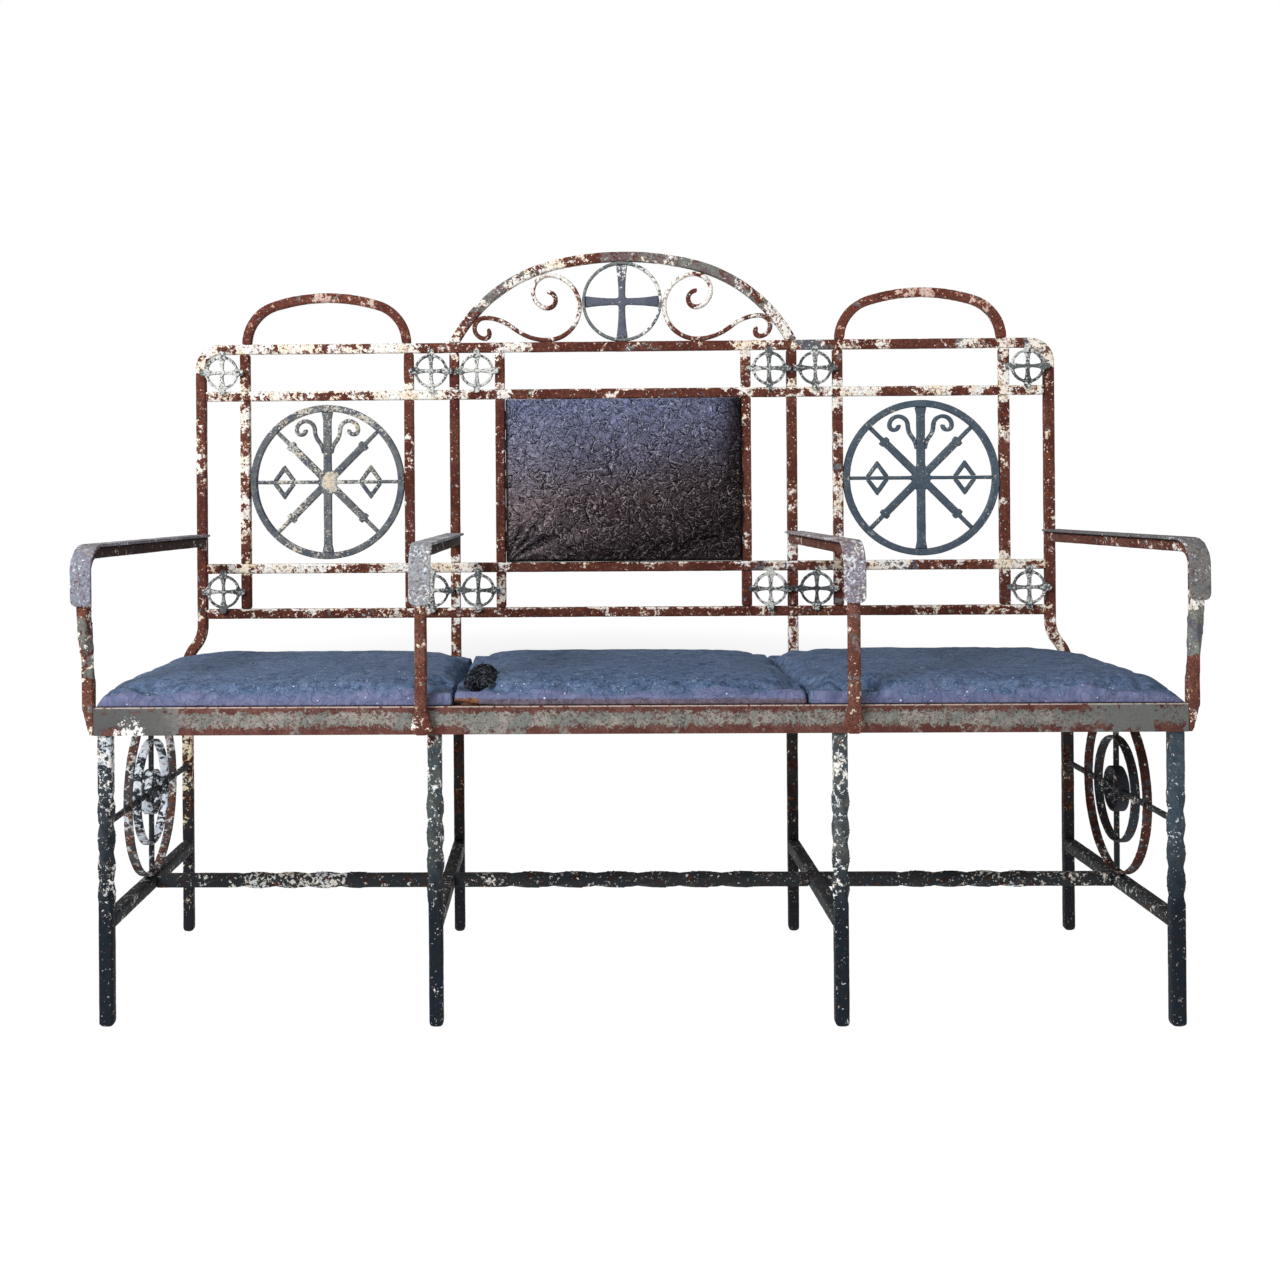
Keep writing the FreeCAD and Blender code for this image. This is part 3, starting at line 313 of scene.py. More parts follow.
class Finish:
    """One material: its surface shader, the place on the piece, and one method that adds any node."""

    def __init__(self, name, **constants):
        self.material = bpy.data.materials.new(name)
        self.material.use_nodes = True
        self.tree = self.material.node_tree
        self.tree.nodes.clear()
        self.shader = self.tree.nodes.new("ShaderNodeBsdfPrincipled")
        output = self.tree.nodes.new("ShaderNodeOutputMaterial")
        self.tree.links.new(self.shader.outputs[0], output.inputs[0])
        for socket, value in constants.items():
            self.shader.inputs[socket.replace("_", " ")].default_value = value
        self.place = self.node("TexCoord", {}, {}, "Object")

    def node(self, kind, settings, feeds, output=0):
        """A node: its settings first, then the values or links of its sockets."""
        made = self.tree.nodes.new("ShaderNode" + kind)
        for name, value in settings.items():
            if name == "stops":
                self.set_stops(made.color_ramp, value)
            elif name == "interpolation" and kind == "ValToRGB":
                made.color_ramp.interpolation = value
            else:
                setattr(made, name, value)
        for key, value in feeds.items():
            if isinstance(key, int):
                socket = made.inputs[key]
            else:
                sockets = [each for each in made.inputs if each.name == key]
                socket = next((each for each in sockets if each.enabled), sockets[0])
            if isinstance(value, Tone):
                self.tree.links.new(value.socket, socket)
            elif socket.type == "RGBA":
                socket.default_value = (*value[:3], 1.0)
            else:
                socket.default_value = value
        return Tone(self, made.outputs[output])

    @staticmethod
    def set_stops(ramp, stops):
        """Gives a colour ramp its stops, each a place and a share."""
        while len(ramp.elements) > 1:
            ramp.elements.remove(ramp.elements[-1])
        for index, (place, share) in enumerate(stops):
            stop = ramp.elements[0] if index == 0 else ramp.elements.new(place)
            stop.position = place
            stop.color = (share, share, share, 1.0)

    def axis(self, name):
        """The place along one axis."""
        return self.node("SeparateXYZ", {}, {0: self.place}, name)

    def grain(self, size, detail=4.0, roughness=0.6, distortion=0.0, stretch=(1, 1, 1),
              shift=(0, 0, 0), **more):
        """Noise whose largest marks are about as wide as size."""
        put = self.node("Mapping", {}, {"Vector": self.place, "Location": shift, "Scale": stretch})
        feeds = {"Vector": put, "Scale": 1 / size, "Detail": detail, "Roughness": roughness,
                 "Distortion": distortion}
        return self.node("TexNoise", more, feeds)

    def step(self, value, edge, softness=0.02):
        """One where a value is over an edge, nought where it is under, with a soft border."""
        feeds = {"Value": value, "From Min": edge - softness, "From Max": edge + softness}
        return self.node("MapRange", {"interpolation_type": "SMOOTHSTEP"}, feeds)

    def spread(self, value, low, high):
        """A value stretched so that low is nought and high is one."""
        return self.node("MapRange", {"clamp": True}, {"Value": value, "From Min": low, "From Max": high})

    def patches(self, low, high, size, *look, **more):
        """Soft patches: grain of a size, stretched between two of its values."""
        return self.spread(self.grain(size, *look, **more), low, high)

    def specks(self, edge, softness, size, *look, **more):
        """Sharp specks: grain of a size, cut at one of its values."""
        return self.step(self.grain(size, *look, **more), edge, softness)

    def ragged(self, value, reach, size, *look, **more):
        """A value whose borders wander by about half the reach either way."""
        return value + (self.grain(size, *look, **more) - 0.5) * reach

    def mix(self, share, first, second):
        """A blend of two colours."""
        feeds = {"Factor": share, "A": first, "B": second}
        return self.node("Mix", {"data_type": "RGBA"}, feeds, 2)

    def coated(self, colour, *coats):
        """A colour under further coats, each given by its share and its colour."""
        for share, coat in coats:
            colour = self.mix(share, colour, coat)
        return colour

    def near(self, axis, middle, reach, softness):
        """One within reach of a place on an axis, nought farther off."""
        return 1 - self.step(abs(self.axis(axis) - middle), reach, softness)

    def near_value(self, value, middle, reach):
        """One where a value is near a middle value, nought farther off."""
        return 1 - self.step(abs(value - middle), reach, reach * 0.3)

    def lines(self, size, width, stretch=(1, 1, 1), angle=0.0, shift=(0, 0, 0), distortion=0.6):
        """Thin winding lines about size apart, one on a line and nought between."""
        put = self.node("Mapping", {}, {"Vector": self.place, "Rotation": (0, angle, 0), "Location": shift})
        put = self.node("Mapping", {}, {"Vector": put, "Scale": stretch})
        feeds = {"Vector": put, "Scale": 1 / size, "Detail": 0.8, "Roughness": 0.5, "Distortion": distortion}
        field = self.node("TexNoise", {}, feeds)
        return 1 - self.spread(abs(field - 0.5), 0.0, width)

    def along(self, axis, table, reach=60 * mm, blend=False):
        """A share that changes from place to place along one axis, given in millimetres."""
        low, high = table_reach
        place = self.ragged(self.axis(axis), reach, 22 * mm, 4.0, 0.7)
        stops = [(max(0.0, (at * mm - low) / (high - low)), share) for at, share in table]
        settings = {"stops": stops, "interpolation": "EASE" if blend else "CONSTANT"}
        return self.node("ValToRGB", settings, {0: self.spread(place, low, high)})

    def close(self, colour, roughness, height, relief=0.5 * mm):
        """Feeds the surface shader with colour, roughness and relief."""
        self.tree.links.new(colour.socket, self.shader.inputs["Base Color"])
        self.tree.links.new(roughness.socket, self.shader.inputs["Roughness"])
        bump = self.node("Bump", {}, {"Strength": 1.0, "Distance": relief, "Height": height}, "Normal")
        self.tree.links.new(bump.socket, self.shader.inputs["Normal"])
        return self.material


def given(source, finish):
    """A share or a coat, given as it is or as a function that reads it from the finish."""
    return source(finish) if callable(source) else source


def flaking_iron(name, top_share, top_coats=(white_paint, cream_paint), old_share=0.1,
                 old_coats=(grey_green, blue_grey), rusts=(rust_red, rust_brown), flake=10 * mm,
                 gloss=0.3, chipping=1.0):
    """Bare rust under an older coat and a top coat, both flaking off in small ragged chips."""
    finish = Finish(name, Specular_IOR_Level=gloss)
    top_left = given(top_share, finish)
    old_left = given(old_share, finish)
    worn = finish.spread(finish.grain(flake, 7.0, 0.7, 0.3) * 0.66 + finish.grain(48 * mm, 3.0) * 0.34,
                         0.39, 0.61)
    top = 1 - finish.step(worn - top_left, 0.0, 0.035)
    chips = finish.specks(0.595, 0.03, 3.6 * mm, 3.0, 0.65) * chipping
    flecks = finish.specks(0.685, 0.015, 4.2 * mm, 2.0, shift=(0.9, 0.4, 0.2))
    top = (top * (1 - chips)).or_more(flecks * finish.spread(top_left + 0.12, 0.0, 0.3))
    old_worn = finish.patches(0.35, 0.65, flake * 1.8, 6.0, 0.66, shift=(0.31, 0.17, 0.53))
    old = (1 - finish.step(old_worn - old_left, 0.0, 0.03)) * (1 - chips * 0.8)
    rim = (1 - finish.step(worn - top_left, 0.09, 0.06)) * (1 - top)

    pits = finish.grain(2.6 * mm, 3.0, 0.7)
    speckle = finish.spread(pits, 0.38, 0.62)
    rust = finish.coated(rusts[0],
                         (finish.patches(0.4, 0.6, 60 * mm, 3.0), rusts[1]),
                         (finish.specks(0.6, 0.05, 6 * mm, 4.0, 0.7) * 0.6, rust_orange),
                         ((1 - speckle) * 0.8, rust_dark),
                         (rim * 0.45, rust_orange))
    if callable(old_coats):
        older = old_coats(finish)
    else:
        older = finish.mix(finish.patches(0.42, 0.58, 26 * mm), *old_coats)
    older = finish.coated(older,
                          (finish.specks(0.56, 0.06, 4 * mm, 3.0, 0.7) * 0.35 * chipping, rusts[0]),
                          ((1 - speckle) * 0.35, rust_dark if chipping > 0.5 else navy_paint))
    stains = finish.patches(0.56, 0.7, 12 * mm, 3.0, shift=(0.2, 0.5, 0.8))
    paint = finish.coated(top_coats[0],
                          (finish.patches(0.47, 0.65, 30 * mm, shift=(0.7, 0.2, 0.1)), top_coats[1]),
                          (finish.patches(0.5, 0.68, 5 * mm, 4.0, 0.7) * 0.6, grey_green),
                          (stains * 0.5 * chipping, rust_orange))
    colour = finish.mix(top, finish.mix(old, rust, older), paint)
    roughness = 0.9 - old * 0.22 - top * 0.25 + speckle * 0.08
    height = top * 0.55 + old * 0.3 + pits * (1 - top * 0.7) * 1.2
    return finish.close(colour, roughness, height)


def post_share(finish):
    """The paint left on a post, from the table of the post that stands nearest."""
    x = finish.axis("X")
    total = 0.0
    for place, table in sorted(post_paint.items()):
        here = finish.step(x, (place - 20) * mm, 0.5 * mm) - finish.step(x, (place + 20) * mm, 0.5 * mm)
        total = here * finish.along("Z", table) + total
    return total


def frame_bar_share(finish):
    """The paint left on the bent bar: the top rail's table between its corners, the posts' on its legs."""
    on_rail = finish.step(finish.axis("Z"), 940 * mm, 2 * mm)
    return on_rail * finish.along("X", top_rail_paint) + (1 - on_rail) * post_share(finish)


def frame_bar_old(finish):
    """The older coat on the bent bar, only on its rail and corners."""
    on_rail = finish.step(finish.axis("Z"), 925 * mm, 6 * mm)
    return on_rail * finish.along("X", top_rail_old) + (1 - on_rail) * 0.07


def table_share(axis, table, clinging=()):
    """A function that reads a share from a table along one axis; paint clings along the heights given."""
    def share(finish):
        total = finish.along(axis, table)
        for height in clinging:
            total = total + finish.near("Z", height, 2 * mm, 1.5 * mm) * 0.3
        return total
    return share


def lower_coat(height, below, above, reach=120 * mm):
    """A function that blends one coat into another up the leg."""
    def coat(finish):
        place = finish.ragged(finish.axis("Z"), 90 * mm, 40 * mm)
        share = finish.spread(place, height - reach / 2, height + reach / 2)
        return finish.mix(share, below, finish.mix(finish.patches(0.42, 0.6, 18 * mm), *above))
    return coat


def side_by_side(left, right, border=0.0):
    """A function that gives one coat left of a border on X and another right of it."""
    def coat(finish):
        patchy = finish.patches(0.42, 0.6, 20 * mm)
        share = finish.step(finish.axis("X"), border, 5 * mm)
        return finish.mix(share, finish.mix(patchy, *left), finish.mix(patchy, *right))
    return coat


def new_object(name, mesh):
    """An object for a mesh, at the origin."""
    piece = bpy.data.objects.new(name, mesh)
    bpy.context.scene.collection.objects.link(piece)
    return piece


def settled(piece):
    """Applies a piece's modifiers to its mesh."""
    graph = bpy.context.evaluated_depsgraph_get()
    mesh = bpy.data.meshes.new_from_object(piece.evaluated_get(graph))
    piece.modifiers.clear()
    piece.data = mesh
    return piece


def stands_for(piece, material, *nodes):
    """Gives a piece its finish and puts it in the place of CAD nodes of one body."""
    piece.data.materials.clear()
    piece.data.materials.append(material)
    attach(piece, body_of_node[nodes[0]])
    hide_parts(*nodes)
    return piece


def merged_copy(node, name):
    """A new object with a node's mesh, its loose triangles joined."""
    shell = bmesh.new()
    shell.from_mesh(frame["nodes"][node].data)
    bmesh.ops.remove_doubles(shell, verts=shell.verts, dist=0.01 * mm)
    mesh = bpy.data.meshes.new(name)
    shell.to_mesh(mesh)
    shell.free()
    return new_object(name, mesh)


def pushed(piece, move):
    """Moves every point of a piece along its normal by what move says for its place."""
    points = [(vertex.co.copy(), vertex.normal.copy()) for vertex in piece.data.vertices]
    places = [place + normal * move(place) for place, normal in points]
    piece.data.vertices.foreach_set("co", [value for place in places for value in place])
    piece.data.update()


def hammered(place):
    """Shallow hollows and humps of forged iron, from about -1 to 1."""
    spot = place / (28 * mm)
    return noise.noise(spot) + 0.5 * noise.noise(spot * 3.1)


def forged(node, material, cell=2.4 * mm, softening=2, hammer=0.25 * mm):
    """A bar or casting with softened edges and an uneven, hammered surface."""
    piece = merged_copy(node, node.replace("_", "-"))
    remesh = piece.modifiers.new("cells", "REMESH")
    remesh.mode = "VOXEL"
    remesh.voxel_size = cell
    smooth = piece.modifiers.new("softening", "SMOOTH")
    smooth.factor = 0.5
    smooth.iterations = softening
    settled(piece)
    pushed(piece, lambda place: hammered(place) * hammer)
    piece.data.shade_smooth()
    return stands_for(piece, material, node)


def rounded(node, material, radius=1.2 * mm):
    """A rolled or cut piece with its sharp edges broken."""
    piece = merged_copy(node, node.replace("_", "-"))
    shell = bmesh.new()
    shell.from_mesh(piece.data)
    bmesh.ops.dissolve_limit(shell, angle_limit=math.radians(1), verts=shell.verts, edges=shell.edges)
    sharp = [edge for edge in shell.edges if edge.is_manifold and edge.calc_face_angle() > math.radians(30)]
    bmesh.ops.bevel(shell, geom=sharp, offset=radius, segments=2, profile=0.5, affect="EDGES",
                    clamp_overlap=True)
    bmesh.ops.recalc_face_normals(shell, faces=shell.faces)
    shell.to_mesh(piece.data)
    shell.free()
    piece.data.shade_smooth()
    piece.data.set_sharp_from_angle(angle=math.radians(40))
    return stands_for(piece, material, node)


# Soft goods

def lattice_shell(name, counts, place):
    """A closed shell of quads over a box of cells, each corner put where place says for its three shares."""
    corners = {}
    faces = []
    for axis in range(3):
        first, second = [other for other in range(3) if other != axis]
        for level in (0, counts[axis]):
            for i in range(counts[first]):
                for j in range(counts[second]):
                    face = []
                    for di, dj in ((0, 0), (1, 0), (1, 1), (0, 1)):
                        key = [0, 0, 0]
                        key[axis], key[first], key[second] = level, i + di, j + dj
                        face.append(corners.setdefault(tuple(key), len(corners)))
                    faces.append(face)
    points = [place(*[key[axis] / counts[axis] for axis in range(3)]) for key in corners]
    mesh = bpy.data.meshes.new(name)
    mesh.from_pydata(points, [], faces)
    shell = bmesh.new()
    shell.from_mesh(mesh)
    bmesh.ops.recalc_face_normals(shell, faces=shell.faces)
    shell.to_mesh(mesh)
    shell.free()
    return new_object(name, mesh)


def swollen(piece, held, spare, cap=swell_cap, stiffness=14):
    """Lets the cover swell and crease under the pressure of its stuffing, and keeps the shape."""
    start = [vertex.co.copy() for vertex in piece.data.vertices]
    group = piece.vertex_groups.new(name="held")
    group.add([index for index, place in enumerate(start) if held(place)], 1.0, "REPLACE")
    cloth = piece.modifiers.new("swelling", "CLOTH")
    settings = {"quality": 6, "mass": 0.4, "tension_stiffness": stiffness, "compression_stiffness": stiffness,
                "shear_stiffness": stiffness / 3, "bending_stiffness": 0.4, "use_pressure": True,
                "uniform_pressure_force": swell_pressure, "shrink_min": -spare, "vertex_group_mass": "held"}
    for name, value in settings.items():
        setattr(cloth.settings, name, value)
    cloth.settings.effector_weights.gravity = 0
    cloth.point_cache.frame_start = 1
    cloth.point_cache.frame_end = swell_frames
    for number in range(1, swell_frames + 1):
        bpy.context.scene.frame_set(number)
    settled(piece)
    bpy.context.scene.frame_set(1)
    for vertex, before in zip(piece.data.vertices, start):
        move = vertex.co - before
        if move.length > cap:
            vertex.co = before + move * (cap / move.length)
    piece.vertex_groups.clear()


def creases(place, size, seed, sharpness=6):
    """Short ridges, about as far apart as size, from nought to one."""
    spot = place / size + Vector((seed, seed * 1.7, 0))
    warp = Vector((noise.noise(spot * 0.7), noise.noise(spot * 0.7 + Vector((5, 9, 2))), 0))
    return (1 - abs(noise.noise(spot + warp * 0.8))) ** sharpness


def finer(piece):
    """One level of subdivision, applied."""
    subdivide = piece.modifiers.new("finer", "SUBSURF")
    subdivide.levels = 1
    subdivide.render_levels = 1
    settled(piece)
    piece.data.shade_smooth()


def bell(distance, reach):
    """One at a place, falling off smoothly to nothing about two reaches away."""
    return math.exp(-(distance / reach) ** 2)


def clamped(value):
    """A value kept between nought and one."""
    return min(1.0, max(0.0, value))


def lump(point, size, height):
    """How far soft unevenness of a size lifts a place, up or down."""
    return noise.noise(point / size) * height


def wavering(away, turn):
    """How many degrees a fold of the left fan strays from its turn."""
    return noise.noise(Vector((away.length / (40 * mm), turn, 0))) * 6


def bending(away, turn):
    """How many degrees a fold of the right fan has bent from its turn."""
    return away.length / (6 * mm)


def fanned(away, folds, stray):
    """How far the folds that fan out from a corner lift a place that lies this far from it."""
    angle = math.degrees(math.atan2(away.y, away.x))
    lift = 0.0
    for turn, width, reach, depth in folds:
        fold = bell(angle - turn - stray(away, turn), width) * bell(away.length, reach * mm)
        lift += depth * mm * fold * min(1.0, away.length / fan_start)
    return lift


def tear_share(x, y):
    """How deep a place lies in the tear, from nought outside it to one in its middle."""
    ragged = lump(Vector((x, y, 0)), 16 * mm, 0.35)
    middle_x, middle_y = tear_middle
    reach_x, reach_y = tear_reach
    far = math.hypot((x - middle_x) / reach_x, (y - middle_y) / reach_y)
    if x > middle_x:
        along_slit = (x - middle_x) / (reach_x + slit_length)
        across_slit = (y - middle_y - reach_y * 0.35) / slit_width
        far = min(far, math.hypot(along_slit * 1.02, across_slit * (1 + along_slit)))
    return clamped(1.25 - far + ragged)


def squab_cover(place, corner_heights):
    """One loose squab's cover: flat below, upright sides, thin corners and a crowned, creased top."""
    low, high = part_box("squab_cover_" + place)
    middle = (low + high) / 2
    half_width, half_depth = (high.x - low.x) / 2, (high.y - low.y) / 2
    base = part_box("squab_board_" + place)[0].z
    counts = (int(2 * half_width / squab_cell), int(2 * half_depth / squab_cell), 5)
    outer = {"left": -1, "centre": 0, "right": 1}[place]
    front_left, front_right, back_left, back_right = corner_heights

    def spot(a, b, c):
        u, v = 2 * a - 1, 2 * b - 1
        lean = squab_lean * c ** 2
        x = u * (half_width - lean - squab_draw * (1 - v * v)) * math.sqrt(1 - corner_round * v ** 16)
        y = v * (half_depth - lean - squab_draw * (1 - u * u)) * math.sqrt(1 - corner_round * u ** 16)
        front = front_left * (1 - a) + front_right * a
        back = back_left * (1 - a) + back_right * a
        corner = (front * (1 - b) + back * b) * mm
        edge = squab_rise + (corner - squab_rise) * (abs(u) * abs(v)) ** 4
        crown = squab_crown * (min(1.0, (1 - u * u) * 1.7) * min(1.0, (1 - v * v) * 1.9)) ** 0.9
        x += outer * max(0.0, u * outer) ** 10 * (squab_proud + squab_flare * (1 - c))
        if u * outer <= 0:
            x += math.copysign(squab_close * abs(u) ** 10, u)
        return middle.x + x, middle.y + y, base + c * (edge + crown if c == 1 else edge)

    def held(point):
        near_side = abs(point.x - middle.x) > half_width - held_corner
        near_end = abs(point.y - middle.y) > half_depth - held_corner
        return near_side and near_end or point.z < base + held_height

    piece = lattice_shell("squab-cover-" + place, counts, spot)
    swollen(piece, held, 0.03, stiffness=22)
    pushed(piece, squab_lumps(place))
    clear_of_board(piece, place)
    finer(piece)
    return piece


def squab_lumps(place):
    """A function that says how far each place on a squab's cover lies off its plain swollen form."""
    low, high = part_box("squab_cover_" + place)
    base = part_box("squab_board_" + place)[0].z
    seed = ((low + high) / 2).x * 11
    crumpled = (high.x - 24 * mm, low.y + 12 * mm)

    def lumps(point):
        lift = clamped((point.z - base - 6 * mm) / (10 * mm))
        front = bell(point.y - low.y, 16 * mm) * clamped((point.z - base - 4 * mm) / (6 * mm))
        move = lump(point, 90 * mm, 1.8 * mm) + lump(point, 22 * mm, 0.8 * mm)
        move -= creases(point, 38 * mm, seed, 10) * 1.4 * mm
        move *= lift
        move += front * noise.noise(Vector((point.x / (11 * mm), seed, point.z / (22 * mm)))) * 0.9 * mm
        if place == "centre":
            crumple = bell(math.hypot(point.x - crumpled[0], point.y - crumpled[1]), 26 * mm)
            move += crumple * (lump(point, 9 * mm, 3.2 * mm) + 1.5 * mm) * lift
            move -= tear_share(point.x, point.y) * tear_depth * lift
        if place == "right":
            slant = (point.x - low.x) * 0.8 - (point.y - low.y) * 0.35
            wave = math.sin(slant / (6.5 * mm) + lump(point, 40 * mm, 3)) * 1.4 * mm
            move += wave * bell(point.x - low.x - 55 * mm, 60 * mm) * lift
            for dent_x, dent_y in right_dents:
                away = math.hypot(point.x - low.x - dent_x, point.y - low.y - dent_y)
                move -= bell(away, 7 * mm) * dent_depth
        return move

    return lumps


def clear_of_board(piece, place):
    """Keeps a cover's sides off its board, and lifts the torn one's hem at its bare corner."""
    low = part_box("squab_cover_" + place)[0]
    board_low, board_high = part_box("squab_board_" + place)
    base = board_low.z
    middle = (board_low + board_high) / 2
    half_x = (board_high.x - board_low.x) / 2 + board_clearance
    half_y = (board_high.y - board_low.y) / 2 + board_clearance
    for vertex in piece.data.vertices:
        point = vertex.co.copy()
        point.z = max(point.z, base)
        if base + 0.5 * mm < point.z < board_high.z + 2 * mm:
            across, along = point.x - middle.x, point.y - middle.y
            if abs(across) / half_x > abs(along) / half_y:
                point.x = middle.x + math.copysign(max(abs(across), half_x), across)
            else:
                point.y = middle.y + math.copysign(max(abs(along), half_y), along)
        if place == "centre" and point.y < low.y + 12 * mm and point.z < base + 10 * mm:
            reach = bell(point.x - low.x, bare_corner) * bell(point.y - low.y, 10 * mm)
            point.z = max(point.z, base + reach * 9 * mm * (0.8 + lump(point, 7 * mm, 0.4)))
        vertex.co = point


def seat_vinyl(name, hem_share, band_reach, band_grain, torn):
    """Faded slate-blue cover with a lavender front band, partly fading and partly painted light for the front
    side reflecting less sky than the top, a dirty hem, scratches, specks and creases.
    """
    finish = Finish(name, Specular_IOR_Level=0.18)
    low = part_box("squab_cover_centre")[0]
    x, y, z = (finish.axis(axis) for axis in "XYZ")
    mottle = finish.patches(0.47, 0.60, 11 * mm, 7.0, 0.78)
    veins = finish.lines(16 * mm, 0.035, (1, 1.8, 1), 0.0, (0.5, 0.2, 0.4), 1.6)
    veins = veins * finish.patches(0.46, 0.56, 40 * mm, 3.0, shift=(0.1, 0.9, 0.3))
    # The front band: partly fading, partly painted light for the front side reflecting less sky than the top
    front = 1 - finish.step(finish.ragged(y, band_reach, 26 * mm), low.y + 8 * mm, 4 * mm)
    streaks = finish.patches(0.38, 0.62, 10 * mm, 5.0, 0.65, stretch=band_grain)
    band = finish.mix(streaks, band_blue, band_lilac)
    hem = 1 - finish.step(finish.ragged(z, 7 * mm, 16 * mm), low.z + hem_height, 1.2 * mm)
    grime = finish.patches(0.4, 0.62, 8 * mm, 5.0, 0.7)
    colour = finish.coated(
        vinyl_deep,
        (finish.patches(0.38, 0.62, 120 * mm, 5.0, 0.65), vinyl_blue),
        (mottle * 0.6, vinyl_worn),
        # Darker blotches at random, about 13 mm across
        (finish.patches(0.50, 0.60, 13 * mm, 7.0, 0.78, shift=(0.3, 0.2, 0.6)) * 0.72, vinyl_dark_blotch),
        (veins * 0.45, vinyl_vein),
        (finish.specks(0.66, 0.02, 3.4 * mm, 2.0, shift=(0.8, 0.1, 0.5)) * 0.5, vinyl_fleck),
        (front * 0.85, band),
        (finish.specks(0.715, 0.012, 7 * mm, 2.0, 0.5, 1.6, (1, 3.5, 1)) * 0.45, vinyl_scratch),
        (finish.specks(0.76, 0.01, 4.5 * mm, 1.0, 0.5), vinyl_speck),
        (hem * hem_share, finish.mix(grime, hem_brown, hem_mauve)))
    if torn:
        across = (x - tear_middle[0]) / tear_reach[0]
        down = (y - tear_middle[1]) / tear_reach[1]
        far = finish.ragged((across * across + down * down) ** 0.5, 0.9, 9 * mm, 5.0, 0.7)
        lint = finish.near_value(far, 1.0, 0.16) * finish.specks(0.58, 0.02, 4 * mm, 3.0)
        corner_x = finish.ragged(x, 16 * mm, 12 * mm)
        corner_z = finish.ragged(z, 9 * mm, 7 * mm, 4.0, 0.7, shift=(0.2, 0.6, 0.1))
        bare = 1 - finish.step(corner_x, low.x + bare_corner, 4 * mm)
        bare = bare * (1 - finish.step(corner_z, low.z + 10 * mm, 1 * mm))
        bare = bare * (1 - finish.step(y, low.y + 6 * mm, 2 * mm))
        colour = finish.coated(colour, (1 - finish.step(far, 0.85, 0.10), tear_black), (lint, lint_grey),
                               (bare, finish.mix(grime, bare_orange, bare_brown)))
    folds = finish.grain(16 * mm, 5.0, 0.62, 0.8, (1, 1.6, 1), noise_type="RIDGED_MULTIFRACTAL")
    height = folds * 0.7 + finish.grain(2.4 * mm, 3.0, 0.7) * 0.45 + finish.lines(15 * mm, 0.03) * 0.6
    return finish.close(colour, 0.58 + mottle * 0.15, height, 1.3 * mm)


def pad_emboss(finish):
    """The back pad's crease lines: their painted lit sides over nought and painted shaded sides under it, and
    their ridges.
    """
    shade, ridges = 0.0, 0.0
    for size, width, stretch, angle, place in pad_creases:
        beside = tuple(value + step for value, step in zip(place, crease_side))
        line = finish.lines(size, width, stretch, angle, place, 0.5)
        patch = finish.patches(0.42, 0.52, size, 3.0, shift=place)
        # Painted light and shade: each crease line minus the same line shifted a little to one side
        shade = (line - finish.lines(size, width, stretch, angle, beside, 0.5)) * patch + shade
        ridges = (line * patch).or_more(ridges)
    return shade, ridges


